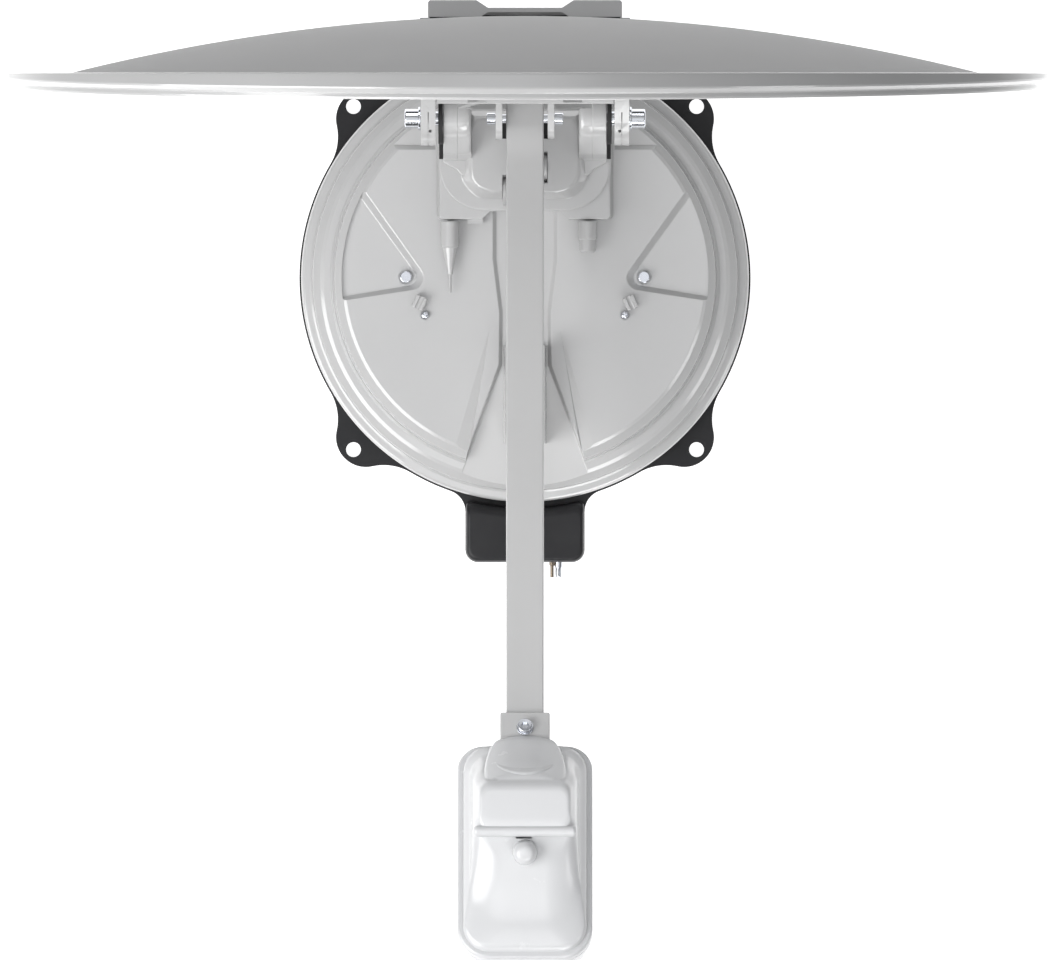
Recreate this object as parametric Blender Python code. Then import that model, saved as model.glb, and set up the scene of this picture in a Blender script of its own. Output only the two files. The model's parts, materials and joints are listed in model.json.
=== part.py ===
"""Motorized roof-top satellite dish, modelled as separate named parts in metres, +Z up.

The origin is on the azimuth axis, on the underside of the base plate. The reflector stands upright
and faces -Y, with the feed arm raised in front of it. The turntable turns about +Z. The feed arm and
the dish carrier both turn about the tilt axis, which runs along X across the top of the turntable.
"""

import math

import bmesh
import bpy
from mathutils import Matrix, Vector

GAP = 0.0003  # between pieces that touch
CUT = 0.020  # how far a cutter runs past the face that it opens
SIDES = ((-1, "left"), (1, "right"))

# Base plate: a round plate with four tabs and a tongue at the front
BASE_RADIUS = 0.1854
BASE_THICKNESS = 0.010
TAB_EDGE = 0.1554
TAB_CORNER = 0.0246
TAB_FILLET = 0.022
HOLE_OFFSET = 0.141
HOLE_RADIUS = 0.0061
TONGUE_HALF_WIDTH = 0.049
TONGUE_FRONT = -0.2336
TONGUE_CORNER = 0.0103
TONGUE_FILLET = 0.018

# Drum and bearing under the turntable
DRUM_RADIUS = 0.178
DRUM_TOP = 0.014
BEARING_RADIUS = 0.095
BEARING_TOP = 0.019

# Connector box on the tongue
BOX_HALF_WIDTH = 0.0486
BOX_REAR = -0.1895
BOX_SHOULDER = 0.028
BOX_TOP = 0.034
BOX_CORNERS = (0.0095, 0.0095, 0.004, 0.004)
BOX_LEVELS = (  # side inset, rear inset and height above the plate's underside
    (0.0, 0.0, BASE_THICKNESS + GAP),
    (0.0, 0.0, BOX_SHOULDER - 0.006),
    (0.0, 0.004, BOX_SHOULDER),
    (0.0025, 0.0085, BOX_TOP),
)
SOCKET_X = 0.0276
SOCKET_HEIGHT = 0.020
SOCKET_TIP = -0.2461
SOCKET_LENGTH = TONGUE_FRONT - SOCKET_TIP
SOCKET_PROFILE = (  # radius and distance out of the box
    (0.0, 0.0),
    (0.0033, 0.0),
    (0.0033, 0.003),
    (0.0028, 0.0034),
    (0.0028, SOCKET_LENGTH),
    (0.0016, SOCKET_LENGTH),
    (0.0016, 0.006),
    (0.0, 0.006),
)
PIN_X = 0.0222
PIN_PROFILE = (
    (0.0, 0.0),
    (0.00145, 0.0),
    (0.00145, SOCKET_LENGTH - 0.001),
    (0.0009, SOCKET_LENGTH),
    (0.0, SOCKET_LENGTH),
)

# Turntable head
HEAD_BOTTOM = 0.0193
PLATEAU = 0.065
PLATEAU_RADIUS = 0.146
HEAD_PROFILE = (
    (0.0, HEAD_BOTTOM),
    (0.1815, HEAD_BOTTOM),
    (0.1839, 0.0215),
    (0.1839, 0.0305),
    (0.1822, 0.0328),
    (0.1756, 0.0345),
    (0.1736, 0.0330),
    (0.1724, 0.0362),
    (0.1692, 0.0445),
    (0.1668, 0.0468),
    (0.1618, 0.0552),
    (0.1602, 0.0568),
    (0.1585, 0.0566),
    (0.1559, 0.0552),
    (0.1532, 0.0575),
    (0.1496, 0.0632),
    (PLATEAU_RADIUS, PLATEAU),
    (0.0, PLATEAU),
)
POCKET_FLOOR = 0.060
POCKET_OUTER = 0.1505
POCKET_NOSE = (0.0935, 0.0)
POCKET_NOSE_RADIUS = 0.0085
CHANNEL_FLOOR = 0.0615
CHANNEL_BEND = -0.0720
CHANNEL_SECTIONS = (  # place along Y, half width and floor, from the housing out to the front edge
    (0.0465, 0.0240, CHANNEL_FLOOR),
    (0.0140, 0.0240, CHANNEL_FLOOR),
    (-0.0520, 0.0190, CHANNEL_FLOOR),
    (CHANNEL_BEND, 0.0190, CHANNEL_FLOOR),
    (-0.1700, 0.0545, 0.0455),
)
REAR_STEP = 0.1055
REAR_STEP_FLOOR = 0.0610
REAR_STEP_INNER = 0.0745

# Arm rest in the channel
REST_HALF_WIDTH = 0.018
REST_WALL = 0.0025
REST_FLOOR = 0.0655
REST_FRONT = -0.136
REST_REAR = -0.0555
REST_TOP = 0.0965

# Small fittings on the head
SCREW_PLACE = (0.0977, 0.0006)
SCREW_PROFILE = ((0.0, 0.0), (0.0057, 0.0), (0.0057, 0.0045), (0.0048, 0.0055), (0.0, 0.0055))
CLIP_PLACE = (0.0865, -0.0205)
CLIP_HALF_SIZE = (0.005, 0.0055)
CLIP_HEIGHT = 0.008
CLIP_TURN = math.radians(25)
CLIP_SCREW_PLACE = (0.082, -0.0306)
CLIP_SCREW_PROFILE = ((0.0, 0.0), (0.0035, 0.0), (0.0035, 0.004), (0.0028, 0.0046), (0.0, 0.0046))

# Tilt housing: a block, a round-fronted tier on it and a domed cap
HOUSING_HALF_WIDTH = 0.0725
HOUSING_FRONT = 0.0473
HOUSING_REAR = 0.140
HOUSING_CORNERS = (0.004, 0.004, 0.030, 0.030)
LEDGE_TOP = 0.0780
TIER_HALF_WIDTH = 0.0705
TIER_FRONT = 0.0554
TIER_REAR = 0.139
TIER_CORNERS = (0.036, 0.036, 0.028, 0.028)
HOUSING_TOP = 0.0815
CAP_REAR_CORNER = 0.012
CAP_LEVELS = (  # half width, front, rear, front corner and height
    (0.0545, 0.0644, 0.138, 0.030, HOUSING_TOP + GAP),
    (0.0520, 0.0672, 0.136, 0.028, 0.0865),
    (0.0480, 0.0698, 0.134, 0.027, 0.0905),
    (0.0450, 0.0718, 0.132, 0.026, 0.0920),
)
GLAND_HEIGHT = 0.0735
LEFT_GLAND_X = -0.0615
LEFT_GLAND_PROFILE = (
    (0.0, 0.0),
    (0.0074, 0.0),
    (0.0074, 0.022),
    (0.0066, 0.0235),
    (0.0020, 0.0445),
    (0.0, 0.0445),
)
STUB_RADIUS = 0.0012
STUB_START = 0.0448
STUB_END = 0.0595
RIGHT_GLAND_X = 0.0513
RIGHT_GLAND_PROFILE = ((0.0, 0.0), (0.0078, 0.0), (0.0078, 0.0245), (0.0062, 0.0262), (0.0, 0.0262))

# Tilt axis, shared by the feed arm and the dish carrier
AXIS_Y = 0.130
AXIS_Z = 0.120
TOWER_INNER = 0.055
TOWER_OUTER = 0.067
TOWER_RADIUS = 0.018
TOWER_FOOT = (0.098, 0.138)
DISC_OUTER = 0.071
DISC_RADIUS = 0.021

# Dish carrier
LEVER_INNER = 0.0733
LEVER_OUTER = 0.0853
LEVER_BOSS = 0.022
LEVER_TOP = 0.488
LEVER_FRONT_START = 0.205
LEVER_CLEARANCE = 0.0008
LEVER_REAR = (  # (y, z) up the back of the lever
    (0.162, 0.104),
    (0.180, 0.116),
    (0.192, 0.140),
    (0.200, 0.190),
    (0.206, 0.260),
    (0.209, 0.330),
    (0.209, LEVER_TOP),
)
LEVER_FOOT = ((0.1672, 0.190), (0.1635, 0.168), (0.150, 0.152))
BOLT_RADIUS = 0.006
BOLT_INNER_END = 0.0575
BOLT_TIP = 0.0987
BOLT_PROFILE = (  # radius and distance from the middle of the tilt axis
    (0.0, BOLT_INNER_END),
    (BOLT_RADIUS, BOLT_INNER_END),
    (BOLT_RADIUS, LEVER_OUTER + GAP),
    (0.0098, LEVER_OUTER + GAP),
    (0.0098, LEVER_OUTER + 0.0025),
    (0.0080, LEVER_OUTER + 0.0028),
    (0.0080, BOLT_TIP - 0.0012),
    (0.0068, BOLT_TIP),
    (0.0, BOLT_TIP),
)
WEB_FRONT = 0.142
WEB_REAR = 0.178
WEB_BOTTOM = 0.140
WEB_TOP = 0.148
EAR_INNER = 0.0186
EAR_OUTER = 0.0240
EAR_RADIUS = 0.017
EAR_NECK = ((0.160, 0.126), (0.166, WEB_BOTTOM - GAP), (0.1415, WEB_BOTTOM - GAP))
ARM_PIN_RADIUS = 0.00365
ARM_PIN_HEAD = 0.0050
ARM_PIN_END = 0.0315

# Holder behind the reflector, with four studs that reach the reflector's back
HOLDER_BOTTOM = 0.420
HOLDER_TOP = 0.500
HOLDER_FRONT = 0.2093
HOLDER_OUTLINE = (  # right half, in (x, y)
    (0.0300, 0.2130),
    (0.0360, HOLDER_FRONT),
    (0.0787, HOLDER_FRONT),
    (0.0787, 0.2215),
    (0.0771, 0.2231),
    (0.0394, 0.2231),
    (0.0300, 0.2170),
)
STUD_X = 0.056
STUD_RADIUS = 0.007
STUD_HEIGHTS = (0.436, 0.484)
STUD_ROOT = 0.002

# Reflector, in its own frame: width along X, height along Z, back towards +Y
DISH_WIDTH = 0.850
DISH_HEIGHT = 0.760
DISH_CENTRE_Z = 0.580
DISH_DATUM_Y = 0.1631
DISH_LEAN = math.radians(0.53)
DISH_STEPS = 72
BOWL_RADIUS = 0.3685
BOWL_DEPTH = 0.0463
BOWL_SHARES = (0.2, 0.4, 0.58, 0.74, 0.88, 1.0)
SHELL = 0.003
RIM_SIDE = 0.0032
RIM_CROWN = 0.0121
RIM_SOFTENING = 0.2
LIP_DEPTH = 0.0092
RIM_STEPS = (  # inset from the edge and place before the flange's front edge
    (0.0, 0.0),
    (0.0055, -0.0015),
    (0.0085, -0.0045),
    (0.0085, 0.0008 - LIP_DEPTH),
    (0.0100, -LIP_DEPTH),
    (0.0140, -LIP_DEPTH),
    (0.0180, 0.0025 - LIP_DEPTH),
)
RIM_INNER = 0.0270

# Feed arm, in its own frame: -Y along the arm away from the tilt axis
ARM_RISE = math.radians(20.0)
TUBE_HALF_WIDTH = 0.0154
TUBE_LOW = -0.018
TUBE_HIGH = 0.006
TUBE_CORNER = 0.0015
TUBE_WALL = 0.002
TUBE_REAR = 0.012
TUBE_FRONT = -0.519
CLAMP_HALF_WIDTH = 0.0204
CLAMP_FRONT = -0.5437
CLAMP_LOW = -0.022
CLAMP_HIGH = 0.009
CLAMP_SCREW_Y = -0.533
CLAMP_SCREW_PROFILE = (
    (0.0, 0.0),
    (0.0071, 0.0),
    (0.0071, 0.0012),
    (0.0050, 0.0013),
    (0.0050, 0.0062),
    (0.0045, 0.0067),
    (0.0, 0.0067),
)
HEX_RADIUS = 0.0029
HEX_FLOOR = 0.0035

# Feed unit, with the distances along the arm in front of the tilt axis
TRAY_REAR = -0.544
TRAY_FRONT = -0.728
TRAY_HALF_WIDTH = 0.0552
TRAY_TOP = -0.003
TRAY_CORNERS = (0.027, 0.027, 0.021, 0.021)
TRAY_LEVELS = (  # inset and height
    (0.009, -0.038),
    (0.003, -0.034),
    (0.0, -0.026),
    (0.0, TRAY_TOP - 0.003),
    (0.0015, TRAY_TOP),
)
SHOULDER = (0.0455, 0.5570, 0.6850, 0.018, 0.0095)
BROW = (0.0425, 0.5790, 0.6350, 0.012, 0.0340)
COVER_LEVELS = (  # half width, rear, front, corner and height
    (0.0505, 0.5450, 0.7225, 0.022, TRAY_TOP + GAP),
    (0.0490, 0.5495, 0.7180, 0.021, 0.0025),
    SHOULDER,
    BROW,
    (0.0415, 0.5870, 0.6330, 0.010, 0.0410),
    (0.0415, 0.5900, 0.6395, 0.010, 0.0450),
    (0.0405, 0.5950, 0.6395, 0.009, 0.0510),
    (0.0360, 0.6010, 0.6330, 0.007, 0.0550),
)
WINDOW_PITCH = math.atan2(BROW[1] - SHOULDER[1], BROW[4] - SHOULDER[4])
WINDOW_CENTRE = (0.0, -0.5709, 0.0261)
WINDOW_PROFILE = (
    (0.0, 0.0),
    (0.0262, 0.0),
    (0.0262, 0.0010),
    (0.0200, 0.0030),
    (0.0100, 0.0042),
    (0.0, 0.0046),
)
KNOB_SLOPE = math.atan2(BROW[4] - SHOULDER[4], SHOULDER[2] - BROW[2])
KNOB_CENTRE = (0.0, -0.6475, 0.0288)
KNOB_PROFILE = (
    (0.0, 0.0),
    (0.0100, 0.0),
    (0.0104, 0.0050),
    (0.0092, 0.0105),
    (0.0062, 0.0142),
    (0.0, 0.0158),
)


def clear_scene():
    """Remove every object that the scene starts with."""
    for item in list(bpy.data.objects):
        bpy.data.objects.remove(item, do_unlink=True)


def finish_of(name, colour, roughness, metallic=0.0):
    """A Principled material."""
    material = bpy.data.materials.new(name)
    material.use_nodes = True
    shader = material.node_tree.nodes["Principled BSDF"]
    shader.inputs["Base Color"].default_value = (*colour, 1.0)
    shader.inputs["Roughness"].default_value = roughness
    shader.inputs["Metallic"].default_value = metallic
    return material


def axis_empty(name, location, parent=None, turn=0.0):
    """An empty on a joint's axis, which carries the pieces that turn about it."""
    empty = bpy.data.objects.new(name, None)
    empty.location = location
    empty.rotation_euler.x = turn
    empty.parent = parent
    bpy.context.collection.objects.link(empty)
    return empty


def add_object(name, shape, material=None, parent=None, smooth=None):
    """Turn a bmesh into a named object. smooth is the angle in degrees under which faces blend."""
    bmesh.ops.recalc_face_normals(shape, faces=shape.faces)
    mesh = bpy.data.meshes.new(name)
    shape.to_mesh(mesh)
    shape.free()
    if smooth:
        mesh.shade_smooth()
        mesh.set_sharp_from_angle(angle=math.radians(smooth))
    item = bpy.data.objects.new(name, mesh)
    if material:
        item.data.materials.append(material)
    item.parent = parent
    bpy.context.collection.objects.link(item)
    return item


def combine(target, tool, operation):
    """Cut the tool from the target or join it to the target, and hide the tool."""
    boolean = target.modifiers.new(operation.lower() + "_" + tool.name, "BOOLEAN")
    boolean.operation = operation
    boolean.solver = "EXACT"
    boolean.object = tool
    tool.hide_render = True
    tool.display_type = "WIRE"


def bevel(item, width, segments=2, angle=40.0):
    """Round the edges that are sharper than the angle."""
    modifier = item.modifiers.new("rounded_edges", "BEVEL")
    modifier.width = width
    modifier.segments = segments
    modifier.limit_method = "ANGLE"
    modifier.angle_limit = math.radians(angle)


def arc(centre, radius, start, end, steps):
    """Points on an arc, with the angles in degrees."""
    points = []
    for step in range(steps + 1):
        angle = math.radians(start + (end - start) * step / steps)
        points.append((centre[0] + radius * math.cos(angle), centre[1] + radius * math.sin(angle)))
    return points


def rounded_rectangle(low, high, radii, steps=4):
    """An outline from low to high, with the corner radii from the low corner anticlockwise."""
    corners = (
        (low[0], low[1], 1, 1, 180),
        (high[0], low[1], -1, 1, 270),
        (high[0], high[1], -1, -1, 0),
        (low[0], high[1], 1, -1, 90),
    )
    points = []
    for (x, y, inward_x, inward_y, start), radius in zip(corners, radii):
        centre = (x + inward_x * radius, y + inward_y * radius)
        points += arc(centre, radius, start, start + 90, steps)
    return points


def at_height(outline, height):
    """The outline's points at one height."""
    return [(x, y, height) for x, y in outline]


def mirrored(right):
    """A closed outline from its right half, in order round the shape."""
    return list(right) + [(-x, y) for x, y in reversed(right)]


def loft(sections, closed=False):
    """A solid through sections of points. A section of one point is a pole, and closed joins the ends."""
    shape = bmesh.new()
    rings = [[shape.verts.new(point) for point in section] for section in sections]
    count = max(len(ring) for ring in rings)
    pairs = list(zip(rings, rings[1:]))
    if closed:
        pairs.append((rings[-1], rings[0]))
    for lower, upper in pairs:
        for index in range(count):
            after = (index + 1) % count
            corners = [
                lower[index % len(lower)],
                lower[after % len(lower)],
                upper[after % len(upper)],
                upper[index % len(upper)],
            ]
            shape.faces.new(dict.fromkeys(corners))
    if not closed:
        for ring in (rings[0], rings[-1]):
            if len(ring) > 2:
                shape.faces.new(ring)
    return shape


def prism(outline, low, high, axis="Z"):
    """A solid swept from low to high along an axis. The outline is (x, y), (x, z) or (y, z)."""
    place = {
        "X": lambda u, v, t: (t, u, v),
        "Y": lambda u, v, t: (u, t, v),
        "Z": lambda u, v, t: (u, v, t),
    }[axis]
    return loft([[place(u, v, t) for u, v in outline] for t in (low, high)])


def lathe(profile, count, axis="Z", closed=False):
    """A turned solid from (radius, height) points, with the height along an axis."""
    sections = []
    for radius, height in profile:
        if radius == 0.0:
            sections.append([(0.0, 0.0, height)])
            continue
        sections.append(at_height(arc((0.0, 0.0), radius, 0.0, 360.0, count)[:-1], height))
    shape = loft(sections, closed)
    turns = {
        "Z": Matrix(),
        "X": Matrix.Rotation(math.pi / 2, 4, "Y"),
        "-X": Matrix.Rotation(-math.pi / 2, 4, "Y"),
        "-Y": Matrix.Rotation(math.pi / 2, 4, "X"),
    }
    bmesh.ops.transform(shape, matrix=turns[axis], verts=shape.verts)
    return shape


def cylinder(radius, low, high, count, axis="Z"):
    """A plain round bar between two heights."""
    return lathe(((0.0, low), (radius, low), (radius, high), (0.0, high)), count, axis)


def box(low, high):
    """A plain block between two corners."""
    outline = ((low[0], low[1]), (high[0], low[1]), (high[0], high[1]), (low[0], high[1]))
    return prism(outline, low[2], high[2])


def moved(shape, offset, turn=0.0, about="Z"):
    """Turn a bmesh about an axis through the origin, then move it."""
    matrix = Matrix.Translation(offset) @ Matrix.Rotation(turn, 4, about)
    bmesh.ops.transform(shape, matrix=matrix, verts=shape.verts)
    return shape


def outward(side):
    """The axis along which a turned piece on one side runs away from the middle."""
    return "X" if side > 0 else "-X"


def base_outline():
    """The round plate with four cornered tabs and the connector tongue at the front."""
    reach = math.sqrt((BASE_RADIUS + TAB_FILLET) ** 2 - (TAB_EDGE + TAB_FILLET) ** 2)
    slope = math.degrees(math.atan2(reach, TAB_EDGE + TAB_FILLET))
    inner = TAB_EDGE - TAB_CORNER
    tab = arc((TAB_EDGE + TAB_FILLET, reach), TAB_FILLET, 180 + slope, 180, 5)
    tab += arc((inner, inner), TAB_CORNER, 0, 90, 8)
    tab += arc((reach, TAB_EDGE + TAB_FILLET), TAB_FILLET, 270, 270 - slope, 5)

    side = TONGUE_HALF_WIDTH
    drop = math.sqrt((BASE_RADIUS + TONGUE_FILLET) ** 2 - (side + TONGUE_FILLET) ** 2)
    lean = math.degrees(math.atan2(side + TONGUE_FILLET, drop))
    corner_y = TONGUE_FRONT + TONGUE_CORNER
    tongue = arc((-side - TONGUE_FILLET, -drop), TONGUE_FILLET, 90 - lean, 0, 5)
    tongue += arc((-side + TONGUE_CORNER, corner_y), TONGUE_CORNER, 180, 270, 5)
    tongue += arc((side - TONGUE_CORNER, corner_y), TONGUE_CORNER, 270, 360, 5)
    tongue += arc((side + TONGUE_FILLET, -drop), TONGUE_FILLET, 180, 90 + lean, 5)

    points = []
    for quarter in range(4):
        turn = Matrix.Rotation(math.radians(90 * quarter), 2)
        points += [tuple(turn @ Vector(point)) for point in tab]
        start = 90 * quarter + 90 - slope
        end = 90 * quarter + 90 + slope
        if quarter == 2:
            points += arc((0, 0), BASE_RADIUS, start, 270 - lean, 3)[1:-1]
            points += tongue
            points += arc((0, 0), BASE_RADIUS, 270 + lean, end, 3)[1:-1]
        else:
            points += arc((0, 0), BASE_RADIUS, start, end, 12)[1:-1]
    return points


def build_base(paint):
    """The plate that is bolted down, with its drum, bearing and connector box."""
    plate = add_object("base_plate", prism(base_outline(), 0.0, BASE_THICKNESS), paint["black"], smooth=30)
    for side_x, _ in SIDES:
        for side_y, _ in SIDES:
            hole = cylinder(HOLE_RADIUS, -CUT, BASE_THICKNESS + CUT, 24)
            hole = moved(hole, (side_x * HOLE_OFFSET, side_y * HOLE_OFFSET, 0.0))
            combine(plate, add_object("hole_cutter", hole), "DIFFERENCE")
    drum = cylinder(DRUM_RADIUS, BASE_THICKNESS + GAP, DRUM_TOP, 72)
    add_object("base_drum", drum, paint["black"], smooth=30)
    bearing = cylinder(BEARING_RADIUS, DRUM_TOP + GAP, BEARING_TOP, 48)
    add_object("turntable_bearing", bearing, paint["rubber"], smooth=30)

    sections = []
    for inset, rear_inset, height in BOX_LEVELS:
        low = (-BOX_HALF_WIDTH + inset, TONGUE_FRONT + GAP + inset)
        high = (BOX_HALF_WIDTH - inset, BOX_REAR - rear_inset)
        sections.append(at_height(rounded_rectangle(low, high, BOX_CORNERS), height))
    add_object("connector_box", loft(sections), paint["black"], smooth=30)

    socket = moved(lathe(SOCKET_PROFILE, 24, "-Y"), (SOCKET_X, TONGUE_FRONT, SOCKET_HEIGHT))
    add_object("coax_socket", socket, paint["chrome"], smooth=30)
    pin = moved(lathe(PIN_PROFILE, 16, "-Y"), (PIN_X, TONGUE_FRONT, SOCKET_HEIGHT))
    add_object("ground_pin", pin, paint["bronze"], smooth=30)


def pocket_outline(side):
    """The sunken wedge beside the housing, from its round nose out to the plateau's edge."""
    nose = arc(POCKET_NOSE, POCKET_NOSE_RADIUS, 215.0, 260.0, 4)
    rim = arc((0.0, 0.0), POCKET_OUTER, -7.5, 28.0, 8)
    return [(side * x, y) for x, y in nose + rim]


def channel_floor(y):
    """The height of the channel's floor, which slopes down to its mouth at the front."""
    for (rear, _, rear_floor), (front, _, front_floor) in zip(CHANNEL_SECTIONS, CHANNEL_SECTIONS[1:]):
        if front <= y <= rear:
            return rear_floor + (front_floor - rear_floor) * (rear - y) / (rear - front)
    return CHANNEL_FLOOR


def build_head(paint, azimuth):
    """The round turntable head with its pockets, channel and rear steps."""
    head = add_object("head_cover", lathe(HEAD_PROFILE, 96), paint["grey"], azimuth, smooth=24)
    above = PLATEAU + CUT
    for side, _ in SIDES:
        pocket = prism(pocket_outline(side), POCKET_FLOOR, above)
        combine(head, add_object("pocket_cutter", pocket, parent=azimuth), "DIFFERENCE")
        ends = sorted((side * REAR_STEP_INNER, side * PLATEAU_RADIUS))
        step = box((ends[0], REAR_STEP, REAR_STEP_FLOOR), (ends[1], PLATEAU_RADIUS, above))
        combine(head, add_object("step_cutter", step, parent=azimuth), "DIFFERENCE")
    sections = []
    for y, half, floor in CHANNEL_SECTIONS:
        sections.append([(-half, y, floor), (half, y, floor), (half, y, above), (-half, y, above)])
    combine(head, add_object("channel_cutter", loft(sections), parent=azimuth), "DIFFERENCE")


def build_head_fittings(paint, azimuth):
    """The arm rest in the channel, the screws in the pockets and the two cable clips."""
    inner = REST_HALF_WIDTH - REST_WALL
    sections = []
    for y in (REST_FRONT, CHANNEL_BEND, REST_REAR):
        bottom = channel_floor(y) + GAP
        right = ((REST_HALF_WIDTH, bottom), (REST_HALF_WIDTH, REST_TOP), (inner, REST_TOP), (inner, REST_FLOOR))
        sections.append([(x, y, z) for x, z in mirrored(right)])
    add_object("arm_rest", loft(sections), paint["grey"], azimuth)

    for side, name in SIDES:
        place = (side * SCREW_PLACE[0], SCREW_PLACE[1], POCKET_FLOOR + GAP)
        screw = moved(lathe(SCREW_PROFILE, 24), place)
        add_object("pocket_screw_" + name, screw, paint["steel"], azimuth, smooth=30)
        half_x, half_y = CLIP_HALF_SIZE
        clip = box((-half_x, -half_y, 0.0), (half_x, half_y, CLIP_HEIGHT))
        clip = moved(clip, (side * CLIP_PLACE[0], CLIP_PLACE[1], PLATEAU + GAP), side * CLIP_TURN)
        bevel(add_object("cable_clip_" + name, clip, paint["grey"], azimuth), 0.0012)
        place = (side * CLIP_SCREW_PLACE[0], CLIP_SCREW_PLACE[1], PLATEAU + GAP)
        screw = moved(lathe(CLIP_SCREW_PROFILE, 20), place)
        add_object("clip_screw_" + name, screw, paint["steel"], azimuth, smooth=30)


def build_housing(paint, azimuth):
    """The tilt drive's housing with its round-fronted tier, its cap and the cable glands."""
    low, high = (-HOUSING_HALF_WIDTH, HOUSING_FRONT), (HOUSING_HALF_WIDTH, HOUSING_REAR)
    block = prism(rounded_rectangle(low, high, HOUSING_CORNERS), PLATEAU + GAP, LEDGE_TOP)
    housing = add_object("tilt_housing", block, paint["grey"], azimuth, smooth=30)
    low, high = (-TIER_HALF_WIDTH, TIER_FRONT), (TIER_HALF_WIDTH, TIER_REAR)
    tier = prism(rounded_rectangle(low, high, TIER_CORNERS, 8), (PLATEAU + LEDGE_TOP) / 2, HOUSING_TOP)
    combine(housing, add_object("tier_join", tier, parent=azimuth), "UNION")

    sections = []
    for half, front, rear, corner, height in CAP_LEVELS:
        corners = (corner, corner, CAP_REAR_CORNER, CAP_REAR_CORNER)
        sections.append(at_height(rounded_rectangle((-half, front), (half, rear), corners, 6), height))
    add_object("housing_cap", loft(sections), paint["grey"], azimuth, smooth=40)

    place = (LEFT_GLAND_X, HOUSING_FRONT - GAP, GLAND_HEIGHT)
    gland = moved(lathe(LEFT_GLAND_PROFILE, 24, "-Y"), place)
    add_object("cable_gland_left", gland, paint["grey"], azimuth, smooth=30)
    stub = moved(cylinder(STUB_RADIUS, STUB_START, STUB_END, 12, "-Y"), place)
    add_object("gland_stub", stub, paint["rubber"], azimuth, smooth=30)
    place = (RIGHT_GLAND_X, HOUSING_FRONT - GAP, GLAND_HEIGHT)
    gland = moved(lathe(RIGHT_GLAND_PROFILE, 24, "-Y"), place)
    add_object("cable_gland_right", gland, paint["grey"], azimuth, smooth=30)


def build_towers(paint, azimuth):
    """The two bearing towers on the housing, each with a dark disc on its outer face."""
    outline = [(TOWER_FOOT[0], HOUSING_TOP + GAP), (TOWER_FOOT[1], HOUSING_TOP + GAP)]
    outline += arc((AXIS_Y, AXIS_Z), TOWER_RADIUS, -10, 190, 14)
    axis = (0.0, AXIS_Y, AXIS_Z)
    bore_radius = BOLT_RADIUS + GAP
    for side, name in SIDES:
        ends = sorted((side * TOWER_INNER, side * TOWER_OUTER))
        tower = prism(outline, *ends, "X")
        tower = add_object("bearing_tower_" + name, tower, paint["grey"], azimuth, smooth=30)
        bore = cylinder(bore_radius, BOLT_INNER_END - GAP, LEVER_OUTER, 24, outward(side))
        combine(tower, add_object("bore_cutter_" + name, moved(bore, axis), parent=azimuth), "DIFFERENCE")
        start = TOWER_OUTER + GAP
        ring = ((bore_radius, start), (DISC_RADIUS, start), (DISC_RADIUS, DISC_OUTER), (bore_radius, DISC_OUTER))
        disc = moved(lathe(ring, 40, outward(side), closed=True), axis)
        add_object("bearing_disc_" + name, disc, paint["rubber"], azimuth, smooth=30)


def dish_back(x, z):
    """The reflector's rear surface at a place in the upright frame."""
    rise = (z - DISH_CENTRE_Z) * DISH_WIDTH / DISH_HEIGHT
    bulge = BOWL_DEPTH * (1.0 - (x * x + rise * rise) / BOWL_RADIUS**2)
    return DISH_DATUM_Y + max(bulge, 0.0) + (DISH_CENTRE_Z - z) * math.tan(DISH_LEAN)


def lever_outline(steps=12):
    """Side view of a carrier lever: the pivot boss, the rail up the back and the foot under the rim."""
    front = []
    for step in range(steps + 1):
        z = LEVER_TOP + (LEVER_FRONT_START - LEVER_TOP) * step / steps
        front.append((dish_back(LEVER_INNER, z) + LEVER_CLEARANCE, z))
    return arc((AXIS_Y, AXIS_Z), LEVER_BOSS, 100, 285, 14) + list(LEVER_REAR) + front + list(LEVER_FOOT)


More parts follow.
